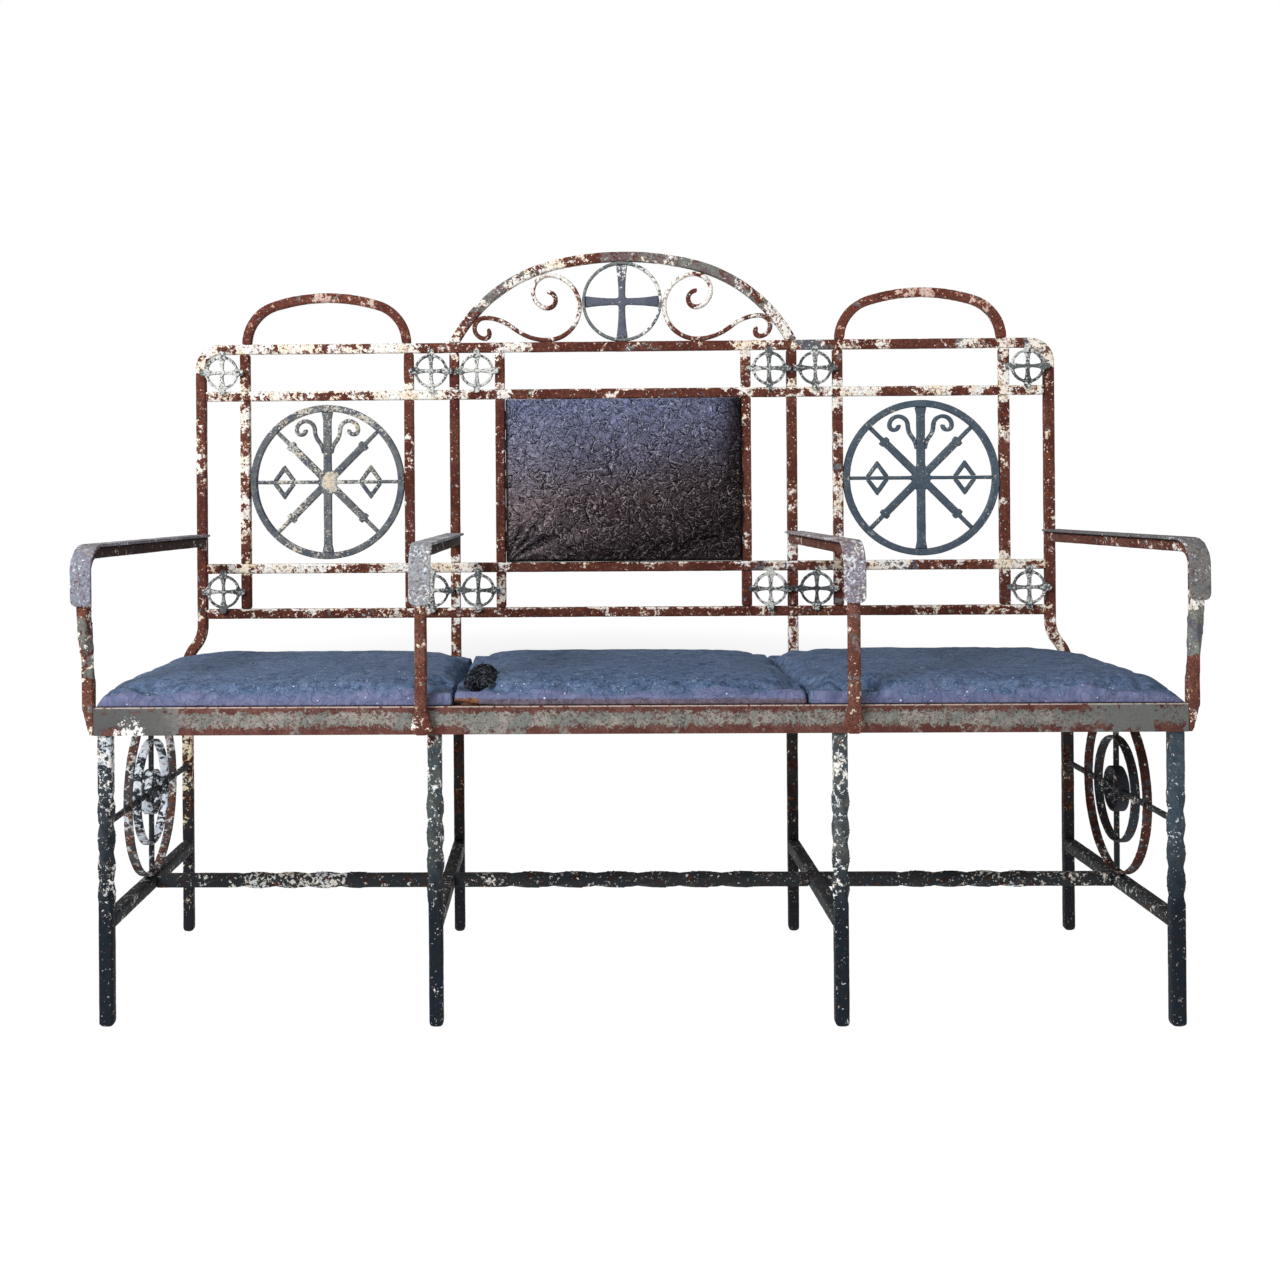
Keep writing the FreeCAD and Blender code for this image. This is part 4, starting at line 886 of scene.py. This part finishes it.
def back_leather():
    """Dark brown hide covered in sharp creases, with a painted bluish sky sheen on its upper part and left
    side, painted light on its left side, painted shade towards the lower right and along its edges, and
    painted light and shade on its folds and creases.
    """
    finish = Finish("back_leather", Specular_IOR_Level=0.16)
    low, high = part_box("back_pad_cover")
    x, z = finish.axis("X"), finish.axis("Z")
    drift = (finish.grain(70 * mm) - 0.5) * 0.22
    across = (x - low.x) / (high.x - low.x)
    down = (high.z - z) / (high.z - low.z)
    # Painted sky reflection: a bluish sheen painted over the upper part, reaching lower on the left
    painted_sheen = 1 - finish.spread(down + across * 0.12 + drift, 0.10, 0.66)
    # Painted shade: darker towards the lower right and along the right side and the bottom, away from the
    # light at the upper left
    shaded = finish.spread(down * 0.75 + across * 0.5 + drift, 0.56, 1.0)
    side = finish.spread(across + down * 0.08, 0.88, 0.98).or_more(finish.spread(down, 0.92, 0.99))
    # Painted light: lighter on the left side, which faces the light
    left = 1 - finish.spread(across + drift * 0.8, 0.05, 0.34)
    dark = (shaded * 0.94).or_more(side * 0.96)
    # The hide's own brown and mauve, then the painted light, the painted sky sheen and the painted shade
    colour = finish.coated(hide_brown, (finish.patches(0.4, 0.6, 50 * mm), hide_mauve),
                           (left * 0.75, hide_painted_light), (painted_sheen * 0.9, hide_painted_sheen), (dark, hide_shaded))
    away_x, away_z = x - low.x, z - low.z
    away = (away_x * away_x + away_z * away_z) ** 0.5
    turned = finish.node("Math", {"operation": "ARCTAN2"}, {0: away_z, 1: away_x}) * math.degrees(1)
    turned = finish.ragged(turned, 14, 40 * mm, 3.0)
    # Painted shade in the grooves of the folds that fan from the lower left corner, and painted light on
    # their ridges
    for turn, width, reach, depth in pad_folds:
        fading = 1 - finish.spread(away, reach * mm * 0.7, reach * mm * 1.25)
        fold = finish.near_value(turned, turn, width * 0.75) * fading
        share, tone = (0.85, fold_painted_shade) if depth < 0 else (0.5, fold_lit)
        colour = finish.mix(fold * share, colour, tone)
    shade, ridges = pad_emboss(finish)
    # Painted shade along the left, right and bottom edges, where the cover meets the frame
    edge = finish.step(abs(x), high.x - 4 * mm, 1.5 * mm).or_more(1 - finish.step(z, low.z + 5 * mm, 2 * mm))
    # Painted light on each crease's lit side, bluer under the painted sheen and weaker in the painted shade,
    # and painted shade on its other side
    colour = finish.coated(colour,
                           (shade.or_more(0.0) * (1.0 - dark * 0.6 - painted_sheen * 0.45),
                            finish.mix(painted_sheen, crease_lit, crease_lit_sheen)),
                           ((0 - shade).or_more(0.0) * (1.0 - painted_sheen * 0.35), crease_painted_shade),
                           (edge * 0.85, edge_painted_shade))
    fine = finish.grain(9 * mm, 5.0, 0.6, 1.0, noise_type="RIDGED_MULTIFRACTAL")
    return finish.close(colour, 0.32 + finish.grain(8 * mm) * 0.2, ridges + fine * 0.4, 3.5 * mm)


def raw_board():
    """Weathered softwood with grain along its length."""
    finish = Finish("raw_board", Specular_IOR_Level=0.2)
    lines = finish.grain(12 * mm, 6.0, 0.6, 0.4, (0.08, 1, 1))
    colour = finish.coated(board_late, (finish.spread(lines, 0.35, 0.65), board_early),
                           (finish.patches(0.45, 0.65, 7 * mm, 4.0, 0.7) * 0.6, board_dirt))
    return finish.close(colour, 0.8 + lines * 0.1, lines)


def back_pad():
    """The back pad's cover: it fills its bay and crowns forwards, with folds from its lower corners."""
    low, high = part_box("back_pad_cover")
    middle = (low + high) / 2
    half_width, half_height = (high.x - low.x) / 2, (high.z - low.z) / 2
    counts = (int(2 * half_width / pad_cell), 4, int(2 * half_height / pad_cell))

    def spot(a, b, c):
        u, v = 2 * a - 1, 2 * c - 1
        forward = 1 - b
        bulge = pad_crown * ((1 - abs(u) ** 3) * (1 - abs(v) ** 3)) ** 0.6 if forward == 1 else 0
        return middle.x + u * half_width, high.y - forward * pad_side - bulge, middle.z + v * half_height

    def folds(point):
        inside = min(half_width - abs(point.x - middle.x), half_height - abs(point.z - middle.z))
        front = clamped((high.y - point.y - pad_side * 0.7) / (4 * mm)) * clamped(inside / (5 * mm))
        flat = Vector((point.x * 0.8 + point.z * 0.5, point.z * 1.1 - point.x * 0.4, 0))
        across = Vector((point.x * 1.2 - point.z * 0.3, point.z * 0.7 + point.x * 0.3, 0))
        move = (creases(flat, 17 * mm, 3.0, 9) - creases(across, 22 * mm, 7.0, 8)) * 2.6 * mm
        move += lump(point, 8 * mm, 0.6 * mm) + lump(point, 30 * mm, 1.2 * mm)
        from_left = Vector((point.x - low.x, point.z - low.z))
        from_right = Vector((high.x - point.x, point.z - low.z))
        move += fanned(from_left, pad_folds, wavering)
        move += fanned(from_right, pad_folds_right, bending)
        return move * front

    piece = lattice_shell("back-pad-cover", counts, spot)
    swollen(piece, lambda point: point.y > high.y - pad_side - 1 * mm, 0.045, 5 * mm)
    pushed(piece, folds)
    finer(piece)
    stands_for(piece, back_leather(), "back_pad_cover", "back_pad_stuffing")


def hair_ground():
    """A low mound under the tear, ragged at its sides, that the hair grows from."""
    rows, columns = 14, 5
    board_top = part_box("squab_board_centre")[1].z
    ground = bmesh.new()
    corners = []
    for i in range(rows + 1):
        for j in range(columns + 1):
            v, u = 2 * i / rows - 1, 2 * j / columns - 1
            y = tear_middle[1] + v * tear_reach[1]
            x = tear_middle[0] + u * tear_reach[0] + noise.noise(Vector((y / (18 * mm), j, 0))) * 5 * mm
            inside = max(0.0, 1 - v ** 2) * max(0.0, 1 - u ** 2)
            corners.append(ground.verts.new((x, y, board_top + (hair_foot + hair_mound * inside) * mm)))
    for i in range(rows):
        for j in range(columns):
            first = i * (columns + 1) + j
            around = (first, first + 1, first + columns + 2, first + columns + 1)
            ground.faces.new([corners[index] for index in around])
    mesh = bpy.data.meshes.new("hair-ground")
    ground.to_mesh(mesh)
    ground.free()
    return new_object("curled-hair", mesh)


def hair_finish():
    """Black hair with a faint blue sheen painted into its colour in patches."""
    hair = Finish("curled_hair", Specular_IOR_Level=0.3)
    # Painted sheen: bluish highlights painted in patches over the black
    shade = hair.mix(hair.patches(0.46, 0.62, 7 * mm, 3.0), hair_black, hair_painted_sheen)
    return hair.close(shade, 0.55 + hair.grain(5 * mm, 2.0) * 0.2, hair.grain(1 * mm, 2.0), 0.1 * mm)


def hair_tree(material):
    """The node tree that scatters short helices over the ground, and its inputs' identifiers and values."""
    tree = bpy.data.node_groups.new("curled_hair_tree", "GeometryNodeTree")
    tree.interface.new_socket("Geometry", in_out="INPUT", socket_type="NodeSocketGeometry")
    sizes = {"Strands": ("NodeSocketInt", hair_count), "Curl": ("NodeSocketFloat", hair_curl),
             "Thickness": ("NodeSocketFloat", hair_radius)}
    inputs = {}
    for name, (kind, value) in sizes.items():
        socket = tree.interface.new_socket(name, in_out="INPUT", socket_type=kind)
        inputs[socket.identifier] = value
    tree.interface.new_socket("Geometry", in_out="OUTPUT", socket_type="NodeSocketGeometry")

    def add(kind, feeds, **settings):
        made = tree.nodes.new(kind)
        for name, value in settings.items():
            setattr(made, name, value)
        for key, value in feeds.items():
            if isinstance(key, int):
                socket = made.inputs[key]
            else:
                socket = next(each for each in made.inputs if each.name == key and each.enabled)
            if isinstance(value, bpy.types.NodeSocket):
                tree.links.new(value, socket)
            else:
                socket.default_value = value
        return made

    given = tree.nodes.new("NodeGroupInput").outputs
    result = tree.nodes.new("NodeGroupOutput")
    area = 4 * tear_reach[0] * tear_reach[1]
    density = add("ShaderNodeMath", {0: given["Strands"], 1: area}, operation="DIVIDE")
    scatter = add("GeometryNodeDistributePointsOnFaces",
                  {"Mesh": given["Geometry"], "Density": density.outputs[0], "Seed": 5})
    spiral = add("GeometryNodeCurveSpiral",
                 {"Resolution": 12, "Rotations": 1.4, "Height": hair_length,
                  "Start Radius": given["Curl"], "End Radius": hair_curl * 0.35})
    rod = add("GeometryNodeCurvePrimitiveCircle", {"Resolution": 3, "Radius": given["Thickness"]})
    strand = add("GeometryNodeCurveToMesh",
                 {"Curve": spiral.outputs[0], "Profile Curve": rod.outputs[0], "Fill Caps": True})
    turn = add("FunctionNodeRandomValue", {"Min": (-1.3, -1.3, 0.0), "Max": (1.3, 1.3, 6.2), "Seed": 8},
               data_type="FLOAT_VECTOR")
    swell = add("FunctionNodeRandomValue", {"Min": 0.6, "Max": 1.35, "Seed": 9}, data_type="FLOAT")
    placed = add("GeometryNodeInstanceOnPoints",
                 {"Points": scatter.outputs["Points"], "Instance": strand.outputs[0],
                  "Rotation": turn.outputs[0], "Scale": next(each for each in swell.outputs if each.enabled)})
    real = add("GeometryNodeRealizeInstances", {"Geometry": placed.outputs[0]})
    finish = add("GeometryNodeSetMaterial", {"Geometry": real.outputs[0], "Material": material})
    tree.links.new(finish.outputs[0], result.inputs[0])
    return tree, inputs


def horsehair():
    """Curled black hair standing out of the tear."""
    piece = hair_ground()
    tree, inputs = hair_tree(hair_finish())
    modifier = piece.modifiers.new("curled_hair", "NODES")
    modifier.node_group = tree
    for identifier, value in inputs.items():
        modifier[identifier] = value
    settled(piece)
    piece.data.shade_smooth()
    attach(piece, body_of_node["squab_cover_centre"])


def seat_squabs():
    """The three squab covers and the hair in the torn one."""
    squabs = {"left": ((13, 16, 12, 16), 0.1, 8 * mm, (1, 1, 0.35)),
              "centre": ((17, 17, 20, 20), 0.75, 14 * mm, (0.2, 1, 1.4)),
              "right": ((18, 7, 17, 11), 0.1, 45 * mm, (1, 1, 0.35))}
    for place, (corner_heights, hem_share, band_reach, band_grain) in squabs.items():
        piece = squab_cover(place, corner_heights)
        vinyl = seat_vinyl("seat_vinyl_" + place, hem_share, band_reach, band_grain, place == "centre")
        stands_for(piece, vinyl, "squab_cover_" + place, "squab_stuffing_" + place)
    horsehair()


# Iron

def back_frame():
    """The bent bar, rails, posts, hoops, arch and scrolls: rust under white and cream flakes."""
    made = {"back_frame_bar": flaking_iron("bent_bar_iron", frame_bar_share, old_share=frame_bar_old)}
    rails = {"upper_mid_rail": (upper_mid_paint, 0.1),
             "lower_mid_rail": (lower_mid_paint, table_share("X", lower_mid_old)),
             "bottom_back_rail": (bottom_rail_paint, 0.1)}
    for node, (table, old_share) in rails.items():
        top_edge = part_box(node)[1].z - 1 * mm
        made[node] = flaking_iron(node + "_iron", table_share("X", table, (top_edge,)), old_share=old_share)
    posts = flaking_iron("post_iron", post_share, old_share=table_share("X", post_old))
    for node in ("divider_post_left", "divider_post_right", "side_posts_left", "side_posts_right",
                 "centre_posts"):
        made[node] = posts
    hoops = flaking_iron("hoop_iron", table_share("X", hoop_paint), (hoop_cream, hoop_grey),
                         rusts=(hoop_rust, hoop_brown))
    arch = flaking_iron("arch_iron", table_share("X", arch_paint), old_share=table_share("X", arch_old),
                        old_coats=(mauve_grey, grey_green))
    scrolls = flaking_iron("scroll_iron", scroll_share, (white_paint, white_paint), 0.12)
    made["side_hoop_left"] = made["side_hoop_right"] = hoops
    made["crest_arch"] = arch
    made["crest_scroll_left"] = made["crest_scroll_right"] = scrolls
    for node, material in made.items():
        forged(node, material)


def scroll_share(finish):
    """White on the sides by the ring and at the shoulders, rust at the bottom and on the tail curls."""
    low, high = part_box("crest_scroll_left")
    x, z = finish.axis("X"), finish.axis("Z")
    upper = finish.spread(z, low.z + 8 * mm, low.z + 30 * mm)
    inner = 1 - finish.spread(abs(x), -high.x + 110 * mm, -high.x + 170 * mm)
    curl_x, curl_z = abs(x) - curl_middle[0], z - curl_middle[1]
    away = finish.ragged((curl_x * curl_x + curl_z * curl_z) ** 0.5, 14 * mm, 8 * mm)
    return 0.12 + upper * inner * finish.step(away, 15 * mm, 3 * mm) * 0.42 + upper * 0.1


def crest_middle():
    """The crest's ring, greyer than the slate cross inside it, with white flecks on its right."""
    low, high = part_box("crest_cross")
    middle = (low.z + high.z) / 2

    def cross_share(finish):
        return 0.04 + finish.spread(abs(finish.axis("Z") - middle), 30 * mm, 52 * mm) * 0.34

    slates = (slate_paint, blue_grey)
    ring = flaking_iron("crest_ring_iron", table_share("X", ring_paint), (white_paint, white_paint),
                        full_coat, (grey_green, blue_grey), slates, 6 * mm, chipping=0.4)
    cross = flaking_iron("crest_cross_iron", cross_share, (white_paint, grey_green), full_coat,
                         (cross_slate, cross_pale), slates, 7 * mm, chipping=0.3)
    forged("crest_ring", ring, 1.6 * mm)
    forged("crest_cross", cross, 1.6 * mm)


def medallions():
    """The ring medallions: the left one mottled whitish on slate, the right one plain blue-grey."""
    low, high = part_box("medallion_rims")
    middle = (low.z + high.z) / 2
    bay = (high.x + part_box("side_posts_right")[0].x) / 2
    at = middle / mm
    rim_paint = ((0, 0.05), (at - 130, 0.26), (at - 95, 0.04), (at + 78, 0.34))

    def left_side(finish):
        return 1 - finish.step(finish.axis("X"), 0.0, 5 * mm)

    def rim_share(finish):
        return left_side(finish) * finish.along("Z", rim_paint) + 0.04

    def spoke_share(finish):
        offset = abs(finish.axis("X")) - bay
        across = (offset * offset + (finish.axis("Z") - middle) ** 2.0) ** 0.5
        hub = 1 - finish.step(across, 17 * mm, 4 * mm)
        return left_side(finish) * (0.26 + hub * 0.6) + 0.05

    shares = {"medallion_rims": rim_share, "medallion_spokes": spoke_share,
              "medallion_lozenges": lambda finish: left_side(finish) * 0.12 + 0.06,
              "medallion_scrolls": lambda finish: left_side(finish) * 0.22 + 0.1}
    slates = (slate_paint, blue_grey)
    for node, share in shares.items():
        material = flaking_iron(node + "_iron", share, (medal_white, medal_cream), full_coat,
                                side_by_side(medal_left, medal_right), slates, 4 * mm, chipping=0.3)
        forged(node, material, 1.5 * mm)
    cast = flaking_iron("cast_rosette_iron", 0.43, (cast_white, cast_grey), full_coat,
                        (cast_dark, cast_green), slates, 3.6 * mm, chipping=0.6)
    forged("rosettes", cast, 1.5 * mm, 1, 0.5 * mm)


def dark_above(height):
    """A function that gives an arm's older coat, nearly black rust above a height in millimetres."""
    return lower_coat(height * mm, arm_green, (rust_dark, arm_black), 20 * mm)


def arms():
    """The four arms, each with its own wear."""
    bars = {
        "outer_left": (((0, 0.26), (545, 0.42), (568, 0.1), (585, 0.01)),
                       ((0, 0.2), (470, 0.6), (545, 0.1), (590, 1.1)), dark_above(596)),
        "inner_left": (((0, 0.12), (560, 0.45), (590, 0.02)), ((0, 0.08), (600, 0.9)), dark_above(600)),
        "inner_right": (((0, 0.08), (440, 0.14), (560, 0.06)), ((0, 0.1), (455, 0.32), (560, 0.08)),
                        (grey_green, mauve_grey)),
        "outer_right": (((0, 0.16), (500, 0.14), (552, 0.75), (580, 0.14)),
                        ((0, 0.08), (492, 0.95), (560, 0.06)), (blue_grey, grey_green)),
    }
    for place, (top, old, old_coats) in bars.items():
        material = flaking_iron("arm_iron_" + place, table_share("Z", top), (white_paint, cream_paint),
                                table_share("Z", old), old_coats, (arm_rust, arm_brown))
        forged("arm_bar_" + place, material)
    top_of_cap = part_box("arm_cap_inner_right")[1].z - 12 * mm
    caps = {
        "outer_left": (0.22, lower_coat(top_of_cap, cap_lilac, cap_greys, 20 * mm)),
        "inner_left": (0.3, cap_pale),
        "inner_right": (0.38, lower_coat(top_of_cap, cap_violet, cap_mauves, 20 * mm)),
        "outer_right": (0.04, cap_dull),
    }
    for place, (share, coats) in caps.items():
        material = flaking_iron("arm_cap_paint_" + place, share, (bluish_white, white_paint), full_coat,
                                coats, flake=5 * mm)
        forged("arm_cap_" + place, material, 1.5 * mm, 1)


def rail_iron(name, at_end=False):
    """Grey-green paint on the angle iron, with rust along its top edge and lower half and a pale line."""
    finish = Finish(name, Specular_IOR_Level=0.3)
    low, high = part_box("seat_front_rail")
    up = (finish.axis("Z") - low.z) / (high.z - low.z)
    ragged = finish.ragged(up, 1.1, 6 * mm, 6.0, 0.75)
    worn = finish.along("Y", end_rail_wear) if at_end else finish.along("X", front_rail_wear)
    row = finish.along("Y", end_row_wear) if at_end else finish.along("X", top_row_wear)
    clumps = finish.grain(30 * mm, 3.0, shift=(0.3, 0.1, 0.6))
    dashes = finish.grain(6 * mm, 4.0, 0.65, shift=(0.5, 0.9, 0.2), stretch=(0.7, 1, 1))
    bottom = (1 - finish.step(ragged - worn * 0.2, 0.13, 0.03)) * finish.step(clumps + worn * 0.3, 0.60, 0.04)
    top = finish.step(ragged, 0.78, 0.03) * finish.step(dashes + row * 0.24, 0.60, 0.02)
    middle = finish.specks(0.565, 0.015, 9 * mm, 7.0, 0.76) * worn * 0.9
    chips = finish.specks(0.60, 0.02, 2.8 * mm, 3.0, 0.65) * (0.25 + row * 0.75)
    lost = bottom.or_more(top).or_more(middle).or_more(chips * 0.85)

    speckle = finish.patches(0.38, 0.62, 2.4 * mm, 3.0, 0.7)
    smudge = finish.patches(0.5, 0.62, 6 * mm, 6.0, 0.75, shift=(0.9, 0.5, 0.4))
    paint = finish.coated(rail_green, (finish.patches(0.42, 0.6, 26 * mm), rail_grey),
                          (smudge * 0.5, rail_smudge))
    for table, reach, tone in rail_end_coats:
        paint = finish.mix(finish.along("X", table, reach, True) * (0.6 if at_end else 1.0), paint, tone)
    paint = finish.mix((1 - speckle) * 0.4, paint, rail_pit)
    rust = finish.coated(rail_rust, (finish.patches(0.4, 0.6, 20 * mm), rail_brown),
                         ((1 - speckle) * 0.7, rust_dark))
    pale_line = finish.step(up, 0.965, 0.02) * finish.specks(0.42, 0.04, 7 * mm, 3.0)
    pale_line = pale_line * (1 - finish.step(finish.axis("Y"), low.y + 2.5 * mm, 1 * mm))
    left_end = finish.near("X", -684 * mm, 24 * mm, 16 * mm)
    flakes = finish.grain(7 * mm, 6.0, 0.72, shift=(0.4, 0.4, 0.1)) - up * 0.24 + left_end * 0.3
    colour = finish.coated(paint, (lost, rust), (pale_line * 0.75, rail_line),
                           (finish.step(flakes, 0.73, 0.012), white_paint))
    return finish.close(colour, 0.72 + lost * 0.18, speckle * 0.5 - lost * 0.6, 0.5 * mm)


def rear_leg_share(finish):
    """Flakes on the rear legs, many on the left one's upper half and few elsewhere."""
    return finish.along("X", rear_leg_flakes) * finish.along("Z", ((0, 0.12), (225, 1.0)))


def under_frame():
    """Legs, stretchers, roundels and seat rails."""
    flakes = (white_paint, bluish_white)
    for place, (upper, covered) in leg_coats.items():
        material = flaking_iron("leg_iron_" + place, table_share("Z", leg_flakes[place]), flakes,
                                table_share("Z", covered), lower_coat(215 * mm, leg_foot, upper),
                                (leg_rust, leg_brown), 7 * mm, gloss=0.15, chipping=0.35)
        forged("front_leg_" + place, material)
    rear = flaking_iron("rear_leg_iron", rear_leg_share, (rear_cream, rear_grey),
                        table_share("Z", ((0, 1.1), (190, 0.55))),
                        lower_coat(200 * mm, leg_foot, (teal_black, rear_black)), dark_rusts, 8 * mm,
                        gloss=0.15, chipping=0.6)
    long_bar = flaking_iron("long_stretcher_iron", table_share("X", long_stretcher_flakes),
                            (long_white, bluish_white), 0.8, stretcher_blacks, dark_rusts, 6 * mm,
                            gloss=0.15, chipping=0.4)
    dull = flaking_iron("stretcher_iron", 0.12, (dull_white, dull_grey), 0.9, stretcher_blacks, dark_rusts,
                        6 * mm, gloss=0.15, chipping=0.3)
    forged("rear_legs", rear)
    forged("long_stretcher", long_bar)
    for node in ("stretcher_end_left", "stretcher_end_right", "stretchers_inner", "roundel_rods"):
        forged(node, dull)
    left_ring = flaking_iron("outer_ring_iron_left", 0.36, (ring_white, bluish_white), 0.62,
                             (slate_paint, teal_black), (ring_rust, ring_brown), 9 * mm)
    left_inner = flaking_iron("inner_ring_iron_left", 0.46, (bluish_white, ring_blue), 0.95,
                              (navy_paint, teal_black), (teal_black, slate_paint), 10 * mm, chipping=0.4)
    right_ring = flaking_iron("outer_ring_iron_right", 0.07, flakes, 0.4, (teal_black, slate_paint),
                              (ring_dark, ring_dull), 8 * mm, gloss=0.15)
    right_inner = flaking_iron("inner_ring_iron_right", 0.06, flakes, 0.75, (teal_black, inner_black),
                               (inner_rust, inner_brown), 8 * mm, gloss=0.15, chipping=0.4)
    rings = {"roundel_ring_left": left_ring, "roundel_inner_rings_left": left_inner,
             "roundel_ring_right": right_ring, "roundel_inner_rings_right": right_inner}
    for node, material in rings.items():
        forged(node, material, 1.4 * mm, 1)
    along_x, along_y = rail_iron("rail_iron"), rail_iron("end_rail_iron", True)
    rails = {"seat_front_rail": along_x, "seat_rear_rail": along_x, "seat_bearers": along_x,
             "seat_end_rail_left": along_y, "seat_end_rail_right": along_y}
    for node, material in rails.items():
        rounded(node, material)


def boards():
    """The boards under the pads."""
    wood = raw_board()
    for node in ("back_pad_board", "squab_board_left", "squab_board_centre", "squab_board_right"):
        rounded(node, wood, 0.8 * mm)


# Studio

def pale_floor():
    """A wide floor that turns into the pale distance."""
    bpy.ops.mesh.primitive_plane_add(size=30, location=(0, 4, -1 * mm))
    floor = bpy.context.object
    floor.name = "floor"
    paper = Finish("pale_floor", Roughness=0.9, Specular_IOR_Level=0.1, Emission_Strength=1.0)
    away = paper.node("VectorMath", {"operation": "LENGTH"}, {0: paper.place}, "Value")
    far = paper.spread(away, 0.6, 1.9)
    feeds = {"Base Color": paper.mix(far, (0.8, 0.8, 0.8), (0.0, 0.0, 0.0)),
             "Emission Color": paper.mix(far, (0.48, 0.48, 0.48), (1.0, 1.0, 1.0))}
    for socket, tone in feeds.items():
        paper.tree.links.new(tone.socket, paper.shader.inputs[socket])
    floor.data.materials.append(paper.material)


def soft_sky():
    """Soft light all round, stronger from the left; seen directly it is plain white."""
    world = bpy.data.worlds.new("soft_sky")
    bpy.context.scene.world = world
    world.use_nodes = True
    nodes, links = world.node_tree.nodes, world.node_tree.links
    sky = nodes["Background"]
    sky.inputs["Color"].default_value = (1.0, 1.0, 1.0, 1.0)
    direction = nodes.new("ShaderNodeTexCoord")
    split = nodes.new("ShaderNodeSeparateXYZ")
    slope = nodes.new("ShaderNodeMapRange")
    limits = {"From Min": -0.5, "From Max": 0.8, "To Min": sky_left, "To Max": sky_right}
    for name, value in limits.items():
        slope.inputs[name].default_value = value
    seen = nodes.new("ShaderNodeLightPath")
    choice = nodes.new("ShaderNodeMix")
    choice.inputs["B"].default_value = 1.0
    links.new(direction.outputs["Generated"], split.inputs[0])
    links.new(split.outputs["X"], slope.inputs["Value"])
    links.new(slope.outputs["Result"], choice.inputs["A"])
    links.new(seen.outputs["Is Camera Ray"], choice.inputs["Factor"])
    links.new(choice.outputs["Result"], sky.inputs["Strength"])


def studio():
    """A pale floor, soft light from the upper left and the camera."""
    pale_floor()
    soft_sky()
    for name, place, size, power in lamps:
        light = bpy.data.lights.new(name, "AREA")
        light.size = size
        light.energy = power
        lamp = bpy.data.objects.new(name, light)
        bpy.context.scene.collection.objects.link(lamp)
        lamp.location = place
        lamp.rotation_euler = (Vector((0, 0, 0.6)) - Vector(place)).to_track_quat("-Z", "Y").to_euler()
    camera = bpy.data.cameras.new("camera")
    camera.sensor_width = 36
    camera.lens = camera_lens
    camera.shift_x, camera.shift_y = camera_shift
    holder = bpy.data.objects.new("camera", camera)
    bpy.context.scene.collection.objects.link(holder)
    holder.location = camera_place
    holder.rotation_euler = [math.radians(angle) for angle in camera_angles]
    bpy.context.scene.camera = holder
    bpy.context.scene.view_settings.view_transform = "Standard"


studio()
back_frame()
crest_middle()
medallions()
arms()
under_frame()
boards()
seat_squabs()
back_pad()
